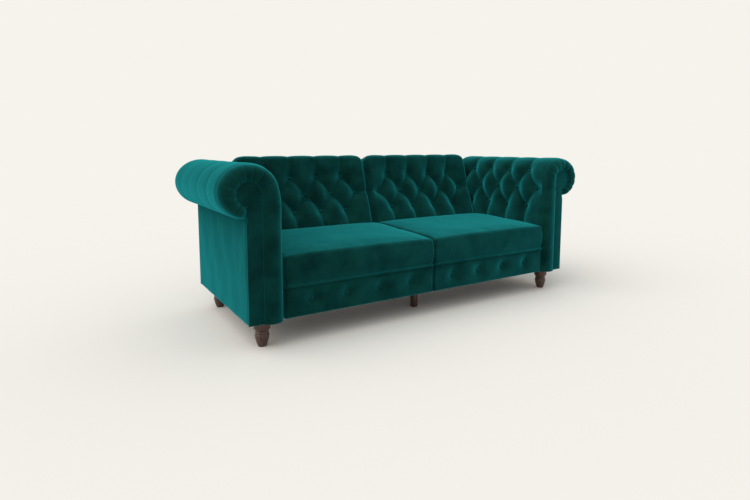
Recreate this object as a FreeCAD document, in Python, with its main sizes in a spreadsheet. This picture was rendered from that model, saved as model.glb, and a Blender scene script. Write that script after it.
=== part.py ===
import FreeCAD, Part
import math
import os

V = FreeCAD.Vector
doc = FreeCAD.newDocument("convertible_sofa")

# Driving sizes, in millimetres and degrees. The front of the sofa faces -Y.
SIZES = (
    ("seat_half_width", 788),     # one seat or back half, side to side
    ("half_gap", 4),              # centre plane to the covers of each half
    ("side_gap", 3),              # seat half to the arm beside it
    ("arm_width", 155),           # inside face of an arm to its outside face
    ("arm_depth", 800),           # front panel to rear panel of an arm
    ("arm_pad_thick", 50),
    ("band_width", 85),           # pleated border beside the front panel
    ("band_bulge", 18),           # border stands proud of the front panel
    ("roll_set_in", 11),          # roll's inner side behind the arm's inside face
    ("roll_half_width", 127),
    ("roll_half_height", 112),
    ("roll_top", 775),
    ("core_radius", 58),
    ("keyhole_radius", 54),
    ("foot_height", 118),
    ("foot_radius", 37),
    ("foot_inset", 78),           # foot axis to the arm's front or rear face
    ("leg_width", 28),
    ("leg_set_back", 176),        # front centre leg behind the front panel
    ("panel_thick", 12),
    ("board", 18),
    ("rail_thick", 20),
    ("rail_face", 12),            # front rail cover behind the arm's front panel
    ("rail_pad_thick", 20),
    ("rail_top", 260),
    ("rail_button_step", 177),
    ("cushion_face", 6),          # cushion front behind the arm's front panel
    ("cushion_round", 26),
    ("seat_top", 409),
    ("back_start", 573),          # front panel to the back's face at seat height
    ("back_lean", 18),
    ("back_top", 405),            # up the back's face from seat height
    ("back_drop", 120),           # down the back's face from seat height
    ("back_thick", 140),
    ("back_pad_thick", 80),
    ("back_row_low", 88),         # lowest button row above seat height
    ("back_row_step", 98),
    ("arm_row_mid", 605),
    ("arm_row_step", 112),
    ("arm_row_roll_angle", 152),  # top button row, round the roll from +X
    ("tuft_depth", 28),
    ("button_radius", 9),
    ("hinge_depth", 100),         # pivot behind the back's face and below the seat top
    ("hinge_plate", 4),
    ("hinge_radius", 22),
    ("hinge_reach", 105),         # fixed plate along the seat rail
    ("hinge_strip", 54),          # fixed plate's height on the seat rail
    ("hinge_bar", 34),            # moving plate's width up the back frame
    ("hinge_rise", 80),           # moving plate's top above seat height
    ("pin_radius", 6),
    ("bolt_radius", 4),
    ("screw_radius", 2.5),
    ("leg_plate_width", 90),
    ("leg_plate_depth", 64),
    ("leg_plate_thick", 6),
    ("strap_width", 60),
    ("welt_radius", 4),
)

# Clearances between pieces that must not touch, and the cloth and strap thickness.
RUNNING = 0.3
PIN_FIT = 0.05
BOLT_FIT = 0.2
CLOTH = 2
RING_GAP = 1.5
BUTTON_HEIGHT = 7
TUFT_FLAT = 4
TUFT_COLUMNS = 5

# Places worked out from the driving sizes.
PLACES = (
    ("seat_out_x", "sizes.half_gap + sizes.seat_half_width"),
    ("seat_mid_x", "sizes.half_gap + sizes.seat_half_width / 2"),
    ("inner_x", "places.seat_out_x + sizes.side_gap"),
    ("outer_x", "places.inner_x + sizes.arm_width"),
    ("pad_back_x", "places.inner_x + sizes.arm_pad_thick"),
    ("split_x", "places.inner_x + sizes.band_width"),
    ("skin_x", "places.outer_x - sizes.panel_thick"),
    ("roll_x", "places.inner_x + sizes.roll_set_in + sizes.roll_half_width"),
    ("roll_z", "sizes.roll_top - sizes.roll_half_height"),
    ("under_z", "places.roll_z - sizes.roll_half_height"),
    ("keyhole_x", f"places.split_x + sizes.keyhole_radius + {RING_GAP}"),
    ("keyhole_z", "places.roll_z - 10"),
    ("back_rear", "sizes.back_start + sizes.back_top * sin(sizes.back_lean * 1deg)"
                  " + sizes.back_thick * cos(sizes.back_lean * 1deg)"),
    ("panel_y", "(sizes.band_bulge - max(places.back_rear; sizes.arm_depth)) / 2"),
    ("board_y", "places.panel_y + sizes.panel_thick"),
    ("arm_rear_y", "places.panel_y + sizes.arm_depth"),
    ("board_rear_y", "places.arm_rear_y - sizes.panel_thick"),
    ("rail_y", "places.panel_y + sizes.rail_face"),
    ("frame_y", "places.rail_y + sizes.rail_pad_thick"),
    ("back_y", "places.panel_y + sizes.back_start"),
    ("pivot_s", "-sizes.hinge_depth * tan((90 - sizes.back_lean) / 2 * 1deg)"),
    ("pivot_y", "places.back_y - places.pivot_s"),
    ("pivot_z", "sizes.seat_top - sizes.hinge_depth"),
    ("sweep", "sqrt(sizes.hinge_depth ^ 2 + (sizes.back_drop + places.pivot_s) ^ 2)"),
    ("seat_rear_y", "places.pivot_y - places.sweep - 6"),
    ("frame_rear_y", "places.seat_rear_y - 14"),
    ("frame_low_z", "sizes.foot_height + 2"),
    ("frame_top_z", "sizes.rail_top - 2"),
    ("rail_in_x", "places.seat_out_x - sizes.rail_thick"),
    ("seat_arm_x", "places.rail_in_x - sizes.hinge_plate"),
    ("back_arm_out_x", f"places.seat_arm_x - {RUNNING}"),
    ("back_arm_x", "places.back_arm_out_x - sizes.hinge_plate"),
    ("notch_s", "places.pivot_s + sizes.hinge_radius + 12"),
    ("stile_low_s", "places.pivot_s + sizes.hinge_radius + 8"),
    ("stile_mid", "(sizes.back_pad_thick + sizes.back_thick - sizes.panel_thick) / 2"),
    ("strip_top_z", "places.frame_top_z - 4"),
    ("bolt_z", "places.frame_low_z + (places.frame_top_z - places.frame_low_z) * 0.36"),
    ("foot_x", "places.pad_back_x + sizes.foot_radius - 11"),
    ("foot_front_y", "places.panel_y + sizes.foot_inset"),
    ("foot_rear_y", "places.arm_rear_y - sizes.foot_inset"),
)

nodes = []


def make_sheet():
    """Put every driving size in a named cell."""
    sheet = doc.addObject("Spreadsheet::Sheet", "sizes")
    for row, (name, value) in enumerate(SIZES, start=1):
        sheet.set(f"A{row}", name)
        sheet.set(f"B{row}", str(value))
        sheet.setAlias(f"B{row}", name)
    doc.recompute()
    return sheet


def make_places():
    """Bind every worked-out place to the sheet."""
    places_object = doc.addObject("App::VarSet", "places")
    for name, formula in PLACES:
        places_object.addProperty("App::PropertyFloat", name)
        places_object.setExpression(name, formula)
    doc.recompute()
    return places_object


sheet = make_sheet()
at = make_places()


def size(name):
    """Return one driving size as a number."""
    return float(sheet.get(name))


def box(name, x, y, z):
    """Add a box between pairs of low and high formulas."""
    item = doc.addObject("Part::Box", name)
    for length, axis, (low, high) in (("Length", "x", x), ("Width", "y", y), ("Height", "z", z)):
        item.setExpression(length, f"({high}) - ({low})")
        item.setExpression(f"Placement.Base.{axis}", f"{low}")
    return item


def rod(name, axis, ends, centre, radius):
    """Add a cylinder along an axis; centre holds the other two coordinates in order."""
    turns = {"x": (V(0, 1, 0), 90), "y": (V(1, 0, 0), -90), "z": (V(0, 0, 1), 0)}
    item = doc.addObject("Part::Cylinder", name)
    item.Placement = FreeCAD.Placement(V(), FreeCAD.Rotation(*turns[axis]))
    item.setExpression("Radius", f"{radius}")
    item.setExpression("Height", f"({ends[1]}) - ({ends[0]})")
    others = [letter for letter in "xyz" if letter != axis]
    item.setExpression(f"Placement.Base.{axis}", f"{ends[0]}")
    for letter, formula in zip(others, centre):
        item.setExpression(f"Placement.Base.{letter}", f"{formula}")
    return item


def formed(name, shape):
    """Add a sub-part whose form is worked out in code from the sheet."""
    item = doc.addObject("Part::Feature", name)
    item.Shape = shape
    return item


def fuse(name, items):
    """Join overlapping or touching pieces into one solid."""
    item = doc.addObject("Part::MultiFuse", name)
    item.Shapes = items
    item.Refine = True
    return item


def group(name, items):
    """Keep pieces as separate solids in one node."""
    item = doc.addObject("Part::Compound", name)
    item.Links = items
    return item


def cut(name, base, tools):
    """Take the tools away from the base."""
    item = doc.addObject("Part::Cut", name)
    item.Base = base
    item.Tool = group(f"{name}_tools", tools) if len(tools) > 1 else tools[0]
    return item


def mirror(name, source, plane_x="0"):
    """Mirror a piece in an upright plane across X."""
    item = doc.addObject("Part::Mirroring", name)
    item.Source = source
    item.Normal = V(1, 0, 0)
    item.setExpression("Base.x", plane_x)
    return item


def both_ends(name, source):
    """Group a piece of the outer side with its mirror at the inner side of one half."""
    return group(name, [source, mirror(f"{name}_inner", source, "places.seat_mid_x")])


def lean(item):
    """Tip a piece drawn upright into the back's resting lean."""
    item.Placement = FreeCAD.Placement(V(), FreeCAD.Rotation(V(1, 0, 0), -size("back_lean")))
    item.setExpression("Placement.Base.y", "places.back_y")
    item.setExpression("Placement.Base.z", "sizes.seat_top")
    item.setExpression("Placement.Rotation.Angle", "-sizes.back_lean")
    return item


def node(item, name):
    """Register a piece as a named node to write."""
    item.Label = name
    nodes.append(item)
    return item


def pair(item, name):
    """Register a right-hand piece and its left-hand mirror."""
    node(item, f"{name}_right")
    node(mirror(f"{name}_mirror", item), f"{name}_left")


def both_sides(item, name):
    """Register a right-hand group and its mirror as one node."""
    node(group(f"{name}_group", [item, mirror(f"{name}_mirror", item)]), name)


def line(start, end):
    """Return a straight edge."""
    return Part.LineSegment(start, end).toShape()


def arc(start, middle, end):
    """Return a circular edge through three points."""
    return Part.Arc(start, middle, end).toShape()


def ruled(sections):
    """Return the solid through a row of closed wires."""
    return Part.makeLoft([Part.Wire(edges) for edges in sections], True, True)


def button(seat, outward, radius, height):
    """Return one covered button with a rounded rim, standing on a point."""
    disc = Part.makeCylinder(radius, height, seat, outward)
    rims = [edge for edge in disc.Edges if edge.Closed]
    rim = max(rims, key=lambda edge: edge.CenterOfMass.dot(outward))
    return disc.makeFillet(height * 0.6, [rim])


def roll_point(angle, inset, y):
    """Return a point on the arm roll's outline, turned from +X, drawn in by an inset."""
    turn = math.radians(angle)
    reach = size("roll_half_width") - inset
    rise = size("roll_half_height") - inset
    return V(at.roll_x + reach * math.cos(turn), y, at.roll_z + rise * math.sin(turn))


def arm_columns():
    """Return the depths of the tuft columns along an arm, half a pitch apart."""
    pitch = (size("arm_depth") - 15) / TUFT_COLUMNS
    first = at.panel_y + pitch * 0.55
    return [first + pitch * 0.5 * index for index in range(2 * TUFT_COLUMNS - 1)]


def arm_rows():
    """Return the heights of the low and middle button rows of an arm."""
    return size("arm_row_mid") - size("arm_row_step"), size("arm_row_mid")


def arm_core_edges(y, low):
    """Return the inside edges of an arm pad section, from under the roll to the low end."""
    radius = size("core_radius") + RUNNING
    reach = at.outer_x - at.roll_x
    drop = math.sqrt(radius ** 2 - reach ** 2)
    start = V(at.outer_x, y, at.roll_z - drop)
    middle = radius * math.sqrt(0.5)
    top = V(at.roll_x, y, at.roll_z + radius)
    left = V(at.roll_x - radius, y, at.roll_z)
    shelf = V(at.pad_back_x, y, at.roll_z)
    foot = V(at.pad_back_x, y, low.z)
    return start, [
        arc(start, V(at.roll_x + radius * math.cos(0.15), y, at.roll_z + radius * math.sin(0.15)), top),
        arc(top, V(at.roll_x - middle, y, at.roll_z + middle), left),
        line(left, shelf),
        line(shelf, foot),
        line(foot, low),
    ]


def arm_section(y, depth, paired, dip):
    """Return one closed section of the arm pad.

    A paired column holds the low and top buttons, the others one middle button.
    """
    flat = size("button_radius") + TUFT_FLAT
    low_row, mid_row = arm_rows()
    low = V(at.inner_x + 6, y, size("rail_top") + 40)
    deep = at.inner_x + depth
    shallow = at.inner_x + depth * 0.8
    spread = math.degrees(flat / size("roll_half_width"))
    roll_angle = size("arm_row_roll_angle")
    crest = roll_point(90, dip, y)
    if paired:
        points = (V(deep, y, low_row - flat), V(deep, y, low_row + flat),
                  roll_point(roll_angle + spread, depth * 0.8, y),
                  roll_point(roll_angle - spread, depth * 0.8, y))
        belly = arc(points[1], V(at.inner_x + 4, y, mid_row + 5), points[2])
        shoulder = roll_point(roll_angle - 34, dip, y)
    else:
        points = (V(shallow, y, mid_row - flat - 6), V(deep, y, mid_row - flat),
                  V(deep, y, mid_row + flat), V(shallow, y, mid_row + flat + 6))
        belly = line(points[1], points[2])
        shoulder = roll_point(roll_angle - 2, dip, y)
    side = roll_point(0, dip, y)
    under = roll_point(-70, dip, y)
    end = V(at.outer_x, y, at.under_z)
    core_start, core = arm_core_edges(y, low)
    swell = V(at.inner_x, y, (low.z + points[0].z) / 2)
    return [
        arc(low, swell, points[0]),
        line(points[0], points[1]),
        belly,
        line(points[2], points[3]),
        arc(points[3], shoulder, crest),
        arc(crest, roll_point(45, dip, y), side),
        arc(side, roll_point(-38, dip, y), under),
        line(under, end),
        line(end, core_start),
    ] + core


def arm_tufts():
    """Return the floor point and outward direction of every arm tuft."""
    depth = size("tuft_depth")
    floor_x = at.inner_x + depth
    low_row, mid_row = arm_rows()
    angle = size("arm_row_roll_angle")
    spread = math.degrees((size("button_radius") + TUFT_FLAT) / size("roll_half_width"))
    tufts = []
    for index, y in enumerate(arm_columns()):
        if index % 2 == 0:
            tufts.append((V(floor_x, y, mid_row), V(-1, 0, 0)))
            continue
        tufts.append((V(floor_x, y, low_row), V(-1, 0, 0)))
        ends = [roll_point(angle + side * spread, depth * 0.8, y) for side in (1, -1)]
        run = ends[1] - ends[0]
        tufts.append(((ends[0] + ends[1]) * 0.5, V(-run.z, 0, run.x).normalize()))
    return tufts


def wells(name, tufts):
    """Round wells that keep the padding clear of the buttons."""
    radius = size("button_radius") + RUNNING
    return formed(name, Part.makeCompound([Part.makeCylinder(radius, size("tuft_depth") + 12, seat, outward)
                                           for seat, outward in tufts]))


def buttons(name, tufts):
    """Covered buttons on the floors of the tufts."""
    return formed(name, Part.makeCompound([button(seat, outward, size("button_radius"), BUTTON_HEIGHT)
                                           for seat, outward in tufts]))


def arm_pad():
    """Tufted inside pad that runs up and over the roll."""
    depth = size("tuft_depth")
    sections = [arm_section(at.board_y, 10, False, 8)]
    for index, y in enumerate(arm_columns()):
        paired = index % 2 == 1
        sections.append(arm_section(y, depth, paired, 5 if paired else 0))
    sections.append(arm_section(at.board_rear_y, 10, False, 8))
    return cut("arm_pad", formed("arm_pad_form", ruled(sections)), [wells("arm_wells", arm_tufts())])


def band_section(inner, outer, bulge):
    """Return a closed section of the border between two front points."""
    back = at.board_y
    bump = (inner + outer) * 0.5 - V(0, bulge + size("panel_thick"), 0)
    rim = V(0, size("panel_thick") - 2, 0)
    return [
        arc(inner - rim, bump, outer - rim),
        line(outer - rim, V(outer.x, back, outer.z)),
        line(V(outer.x, back, outer.z), V(inner.x, back, inner.z)),
        line(V(inner.x, back, inner.z), inner - rim),
    ]


def arm_band():
    """Pleated border up the inside of the front panel and round the keyhole."""
    bulge = size("band_bulge")
    back = at.board_y
    ring = size("keyhole_radius") + RING_GAP
    sections = []
    for z in (size("foot_height"), at.keyhole_z - 55):
        sections.append(band_section(V(at.split_x, back, z), V(at.inner_x, back, z), bulge))
    pleats = 9
    for step in range(2 * pleats + 1):
        angle = 180 - 250 * step / (2 * pleats)
        turn = math.radians(angle)
        inner = V(at.keyhole_x + ring * math.cos(turn), back, at.keyhole_z + ring * math.sin(turn))
        outer = roll_point(angle, 2, back)
        sections.append(band_section(inner, outer, bulge if step % 2 else bulge - 4))
    return formed("arm_band", ruled(sections))


def arm_front_panel():
    """Flat keyhole panel on the arm's front."""
    y = ("places.panel_y", "places.board_y")
    strip = box("front_strip", ("places.split_x", "places.outer_x"), y,
                ("sizes.foot_height", "places.under_z"))
    neck = box("front_neck", ("places.split_x", "places.outer_x - 4"), y,
               ("places.under_z - 1", "places.keyhole_z - sizes.keyhole_radius * 0.7"))
    disc = rod("front_disc", "y", y, ("places.keyhole_x", "places.keyhole_z"), "sizes.keyhole_radius")
    return fuse("arm_front_panel", [strip, neck, disc])


def arm_rear_panel():
    """Flat rear panel that covers the whole arm outline."""
    y = at.board_rear_y
    corner = V(at.inner_x, y, size("foot_height"))
    foot = V(at.outer_x, y, size("foot_height"))
    end = V(at.outer_x, y, at.under_z)
    under = roll_point(-70, 8, y)
    side = roll_point(0, 8, y)
    crest = roll_point(90, 8, y)
    left = roll_point(180, 8, y)
    edges = [
        line(corner, foot),
        line(foot, end),
        line(end, under),
        arc(under, roll_point(-38, 8, y), side),
        arc(side, roll_point(45, 8, y), crest),
        arc(crest, roll_point(135, 8, y), left),
        line(left, V(at.inner_x, y, at.under_z)),
        line(V(at.inner_x, y, at.under_z), corner),
    ]
    face = Part.Face(Part.Wire(edges))
    return formed("arm_rear_panel", face.extrude(V(0, size("panel_thick"), 0)))


def arm_frame(base_holes, block_holes):
    """Timber carcass: base, inner and two scroll boards, and the block that meets the seat frame."""
    x = ("places.pad_back_x", "places.skin_x")
    floor = "sizes.foot_height + sizes.board"
    ends = {
        "front": ("places.board_y", "places.board_y + sizes.board"),
        "rear": ("places.board_rear_y - sizes.board", "places.board_rear_y"),
    }
    base = box("arm_base", x, ("places.board_y", "places.board_rear_y"), ("sizes.foot_height", floor))
    block = box("arm_block", ("places.seat_out_x", "places.pad_back_x"),
                ("places.frame_y", "places.frame_rear_y"), ("places.frame_low_z + 20", "sizes.rail_top - 20"))
    boards = [
        cut("arm_base_board", base, base_holes),
        cut("arm_mounting_block", block, block_holes),
        box("arm_inner_board", ("places.pad_back_x", "places.pad_back_x + sizes.panel_thick"),
            (ends["front"][1], ends["rear"][0]), (floor, "places.roll_z")),
    ]
    for name, y in ends.items():
        upright = box(f"arm_{name}_upright", x, y, (floor, "places.roll_z"))
        scroll = rod(f"arm_{name}_scroll", "y", y, ("places.roll_x", "places.roll_z"), "sizes.core_radius")
        boards.append(fuse(f"arm_{name}_board", [upright, scroll]))
    return group("arm_frame", boards)


def arm_core():
    """Round former along the roll between the scroll boards."""
    y = ("places.board_y + sizes.board", "places.board_rear_y - sizes.board")
    return rod("arm_core", "y", y, ("places.roll_x", "places.roll_z"), "sizes.core_radius")


def arm_outer_panel():
    """Flat outside panel."""
    return box("arm_outer_panel", ("places.skin_x", "places.outer_x"),
               ("places.board_y", "places.board_rear_y"), ("sizes.foot_height", "places.under_z"))


def foot():
    """Turned foot: bulb, bead and flared collar, with a blind hole for its bolt."""
    high = size("foot_height")
    wide = size("foot_radius")
    bolt = size("bolt_radius") + BOLT_FIT
    hole = high * 0.72
    toe = V(wide * 0.43, 0, 0)
    bulb_top = V(wide * 0.72, 0, high * 0.52)
    bead_top = V(wide * 0.72, 0, high * 0.64)
    collar_low = V(wide * 0.96, 0, high * 0.78)
    collar_top = V(wide * 0.92, 0, high)
    edges = [
        line(V(0, 0, 0), toe),
        arc(toe, V(wide * 0.87, 0, high * 0.34), bulb_top),
        arc(bulb_top, V(wide * 0.84, 0, high * 0.58), bead_top),
        line(bead_top, collar_low),
        arc(collar_low, V(wide, 0, high * 0.88), collar_top),
        line(collar_top, V(bolt, 0, high)),
        line(V(bolt, 0, high), V(bolt, 0, hole)),
        line(V(bolt, 0, hole), V(0, 0, hole)),
        line(V(0, 0, hole), V(0, 0, 0)),
    ]
    turned = Part.Face(Part.Wire(edges)).revolve(V(), V(0, 0, 1), 360)
    return turned


def feet():
    """Front and rear foot of the right arm, each bound to its place."""
    for name, y in (("front", "places.foot_front_y"), ("rear", "places.foot_rear_y")):
        item = formed(f"foot_{name}", foot())
        item.setExpression("Placement.Base.x", "places.foot_x")
        item.setExpression("Placement.Base.y", y)
        pair(item, f"foot_{name}")


def hanger_bolts():
    """Foot bolts with their nuts, and the holes they need in the arm base."""
    bolts = []
    holes = []
    base = "sizes.foot_height + sizes.board"
    for name, y in (("front", "places.foot_front_y"), ("rear", "places.foot_rear_y")):
        centre = ("places.foot_x", y)
        tip = f"{base} + sizes.bolt_radius * 3.5"
        nut_top = f"{base} + sizes.bolt_radius * 2"
        shank = rod(f"hanger_{name}", "z", ("sizes.foot_height * 0.74", tip), centre, "sizes.bolt_radius")
        nut = rod(f"hanger_nut_{name}", "z", (base, nut_top), centre, "sizes.bolt_radius * 2.4")
        bolts.append(fuse(f"hanger_bolt_{name}", [shank, nut]))
        holes.append(rod(f"hanger_hole_{name}", "z", ("sizes.foot_height - 1", f"{base} + 1"), centre,
                         f"sizes.bolt_radius + {BOLT_FIT}"))
    return bolts, holes


def arm_bolts():
    """Bolts from the seat rail into the arm block, and their holes."""
    bolts = []
    holes = []
    z = "places.bolt_z"
    for index, share in enumerate((0.2, 0.5, 0.72)):
        y = f"places.frame_y + (places.frame_rear_y - places.frame_y) * {share}"
        tip = "places.pad_back_x - sizes.bolt_radius * 2"
        shank = rod(f"arm_bolt_shank_{index}", "x", ("places.rail_in_x - sizes.bolt_radius / 2", tip), (y, z),
                    "sizes.bolt_radius")
        head = rod(f"arm_bolt_head_{index}", "x",
                   ("places.rail_in_x - sizes.bolt_radius * 1.5", "places.rail_in_x"), (y, z),
                   "sizes.bolt_radius * 2.2")
        bolts.append(fuse(f"arm_bolt_{index}", [shank, head]))
        holes.append(rod(f"arm_bolt_hole_{index}", "x", ("places.rail_in_x - 1", f"{tip} + 2"), (y, z),
                         f"sizes.bolt_radius + {BOLT_FIT}"))
    return bolts, holes


def hinge_seat_bolts():
    """Bolts that hold the fixed hinge plate on the outer seat rail, and their holes."""
    bolts = []
    holes = []
    z = "places.strip_top_z - sizes.hinge_strip / 2"
    for index, share in enumerate((0.29, 0.71)):
        y = f"places.frame_rear_y - sizes.hinge_reach * {share}"
        shank = rod(f"seat_bolt_shank_{index}", "x",
                    ("places.seat_arm_x - sizes.bolt_radius / 2", "places.seat_out_x"),
                    (y, z), "sizes.bolt_radius")
        head = rod(f"seat_bolt_head_{index}", "x",
                   ("places.seat_arm_x - sizes.bolt_radius", "places.seat_arm_x"),
                   (y, z), "sizes.bolt_radius * 2")
        bolts.append(fuse(f"seat_bolt_{index}", [shank, head]))
        holes.append(rod(f"seat_bolt_hole_{index}", "x", ("places.seat_arm_x - 1", "places.seat_out_x + 1"),
                         (y, z), f"sizes.bolt_radius + {BOLT_FIT}"))
    return bolts, holes


def hinge_back_bolts():
    """Bolts that hold the moving hinge plate on the back's stile, drawn upright, and their holes."""
    bolts = []
    holes = []
    stile_in = "places.back_arm_x - sizes.rail_thick"
    for index, share in enumerate((0.125, 0.75)):
        centre = ("places.stile_mid", f"sizes.hinge_rise * {share}")
        shank = rod(f"back_bolt_shank_{index}", "x",
                    (stile_in, "places.back_arm_out_x + sizes.bolt_radius / 4"), centre, "sizes.bolt_radius")
        head = rod(f"back_bolt_head_{index}", "x",
                   ("places.back_arm_out_x", "places.back_arm_out_x + sizes.bolt_radius * 0.75"), centre,
                   "sizes.bolt_radius * 2")
        bolts.append(fuse(f"back_bolt_{index}", [shank, head]))
        holes.append(rod(f"back_bolt_hole_{index}", "x", (f"{stile_in} - 1", "places.back_arm_out_x + 1"),
                         centre, f"sizes.bolt_radius + {BOLT_FIT}"))
    return bolts, holes


def hinge_seat_arm(holes):
    """Fixed hinge plate: along the seat rail, then up to the pivot."""
    x = at.seat_arm_x
    reach = size("hinge_radius")
    high = at.strip_top_z
    low = high - size("hinge_strip")
    front = at.frame_rear_y - size("hinge_reach")
    heel = at.pivot_y - reach * 3.6
    outline = [V(x, front, low), V(x, front, high), V(x, heel, high),
               V(x, at.pivot_y - reach * 0.95, at.pivot_z + reach * 0.3),
               V(x, at.pivot_y + reach * 0.7, at.pivot_z - reach * 0.7),
               V(x, at.pivot_y - reach * 1.4, low)]
    plate = Part.Face(Part.makePolygon(outline + outline[:1])).extrude(V(size("hinge_plate"), 0, 0))
    eye = rod("seat_arm_eye", "x", ("places.seat_arm_x", "places.rail_in_x"),
              ("places.pivot_y", "places.pivot_z"), "sizes.hinge_radius")
    bore = rod("seat_arm_bore", "x", ("places.seat_arm_x - 1", "places.rail_in_x + 1"),
               ("places.pivot_y", "places.pivot_z"), f"sizes.pin_radius + {PIN_FIT}")
    blank = fuse("seat_arm_blank", [formed("seat_arm_plate", plate), eye])
    return cut("hinge_seat_arm", blank, [bore] + holes)


def hinge_back_arm(holes):
    """Moving hinge plate, drawn upright: an eye round the pivot and a bar up the stile."""
    x = ("places.back_arm_x", "places.back_arm_out_x")
    centre = ("sizes.hinge_depth", "places.pivot_s")
    bar = box("back_arm_bar", x,
              ("places.stile_mid - sizes.hinge_bar / 2", "places.stile_mid + sizes.hinge_bar / 2"),
              ("places.pivot_s", "sizes.hinge_rise"))
    eye = rod("back_arm_eye", "x", x, centre, "sizes.hinge_radius")
    bore = rod("back_arm_bore", "x", ("places.back_arm_x - 1", "places.back_arm_out_x + 1"), centre,
               f"sizes.pin_radius + {PIN_FIT}")
    return cut("hinge_back_arm", fuse("back_arm_blank", [bar, eye]), [bore] + holes)


def hinge_pin():
    """Pivot rivet with a head at each side."""
    centre = ("places.pivot_y", "places.pivot_z")
    low = f"places.back_arm_x - {RUNNING}"
    high = f"places.rail_in_x + {RUNNING}"
    half = "sizes.pin_radius / 2"
    head = "sizes.pin_radius * 2 / 3"
    shank = rod("pin_shank", "x", (f"{low} - {half}", f"{high} + {half}"), centre, "sizes.pin_radius")
    heads = [
        rod("pin_head_in", "x", (f"{low} - {head}", low), centre, "sizes.pin_radius * 1.7"),
        rod("pin_head_out", "x", (high, f"{high} + {head}"), centre, "sizes.pin_radius * 1.7"),
    ]
    return fuse("hinge_pin", [shank] + heads)


def joining_bolts():
    """Bolts that hold the two seat frames together at the centre, and their holes."""
    bolts = []
    holes = []
    z = "places.bolt_z"
    edge = "(sizes.half_gap + sizes.rail_thick)"
    for index, share in enumerate((0.3, 0.7)):
        y = f"places.frame_y + (places.frame_rear_y - places.frame_y) * {share}"
        shank = rod(f"joining_shank_{index}", "x",
                    (f"-{edge} - sizes.bolt_radius", f"{edge} + sizes.bolt_radius"), (y, z),
                    "sizes.bolt_radius")
        heads = [
            rod(f"joining_head_{index}", "x", (f"-{edge} - sizes.bolt_radius * 1.5", f"-{edge}"), (y, z),
                "sizes.bolt_radius * 2"),
            rod(f"joining_nut_{index}", "x", (edge, f"{edge} + sizes.bolt_radius * 1.75"), (y, z),
                "sizes.bolt_radius * 2"),
        ]
        bolts.append(fuse(f"joining_bolt_{index}", [shank] + heads))
        holes.append(rod(f"joining_hole_{index}", "x", ("-1", f"{edge} + 1"), (y, z),
                         f"sizes.bolt_radius + {BOLT_FIT}"))
    return bolts, holes


def leg_places():
    """Return the depth formulas of the two centre legs."""
    return {"front": "places.panel_y + sizes.leg_set_back", "rear": "places.frame_rear_y - 70"}


def leg_screws():
    """Screws that hold the leg plates to the two inner seat rails, and their holes."""
    screws = []
    rail_holes = []
    plate_holes = {}
    for name, y in leg_places().items():
        plate_holes[name] = []
        for side in (-1, 1):
            x = f"{side} * (sizes.half_gap + sizes.rail_thick) * 0.55"
            for fore in (-1, 1):
                tag = f"{name}_{'right' if side > 0 else 'left'}_{'back' if fore > 0 else 'fore'}"
                centre = (x, f"{y} + {fore} * sizes.leg_plate_depth * 0.34")
                under = "sizes.foot_height - sizes.leg_plate_thick"
                tip = "sizes.foot_height + sizes.screw_radius * 13"
                shank = rod(f"leg_screw_shank_{tag}", "z", (f"{under} - 1", tip), centre,
                            "sizes.screw_radius")
                head = rod(f"leg_screw_head_{tag}", "z", (f"{under} - 3", under), centre,
                           "sizes.screw_radius * 2")
                screws.append(fuse(f"leg_screw_{tag}", [shank, head]))
                hole = rod(f"leg_screw_hole_{tag}", "z", (f"{under} - 2", f"{tip} + 2"), centre,
                           f"sizes.screw_radius + {BOLT_FIT}")
                plate_holes[name].append(hole)
                if side > 0:
                    rail_holes.append(hole)
    return screws, plate_holes, rail_holes


def center_legs(plate_holes):
    """Square centre legs and the plates that carry them."""
    legs = []
    plates = []
    top = "sizes.foot_height - sizes.leg_plate_thick"
    wide = "sizes.leg_plate_width / 2"
    deep = "sizes.leg_plate_depth / 2"
    for name, y in leg_places().items():
        half = "sizes.leg_width / 2"
        legs.append(box(f"center_leg_{name}", (f"-{half}", half), (f"{y} - {half}", f"{y} + {half}"),
                        ("0", top)))
        plate = box(f"center_plate_{name}", (f"-{wide}", wide), (f"{y} - {deep}", f"{y} + {deep}"),
                    (top, "sizes.foot_height"))
        plates.append(cut(f"center_leg_plate_{name}", plate, plate_holes[name]))
    for leg, name in zip(legs, leg_places()):
        node(leg, f"center_leg_{name}")
    node(group("center_plates", plates), "center_leg_plates")


def seat_side_rails(outer_holes, inner_holes):
    """Side rails of one seat half, which carry the arms, the hinges and the centre joint."""
    z = ("places.frame_low_z", "places.frame_top_z")
    y = ("places.frame_y + sizes.rail_thick", "places.frame_rear_y")
    outer = box("seat_outer_board", ("places.rail_in_x", "places.seat_out_x"), y, z)
    inner = box("seat_inner_board", ("0", "sizes.half_gap + sizes.rail_thick"), y, z)
    return group("seat_side_rails", [cut("seat_outer_rail", outer, outer_holes),
                                     cut("seat_inner_rail", inner, inner_holes)])


def seat_cross_rails():
    """Front and rear rails of one seat half; the rear one is notched for the hinge plates."""
    notch_z = "places.strip_top_z - sizes.hinge_strip - 2"
    inner = "sizes.half_gap + sizes.rail_thick"
    rear = ("places.frame_rear_y - sizes.rail_thick", "places.frame_rear_y")
    clear = f"(sizes.hinge_plate + {RUNNING})"
    front = box("seat_front_rail", ("0", "places.seat_out_x"),
                ("places.frame_y", "places.frame_y + sizes.rail_thick"),
                ("places.frame_low_z", "places.frame_top_z"))
    low = box("seat_rear_low", (inner, "places.rail_in_x"), rear, ("places.frame_low_z", notch_z))
    high = box("seat_rear_high", (f"{inner} + {clear}", f"places.rail_in_x - {clear}"), rear,
               (f"{notch_z} - 1", "places.frame_top_z"))
    return group("seat_cross_rails", [front, fuse("seat_rear_rail", [low, high])])


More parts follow.
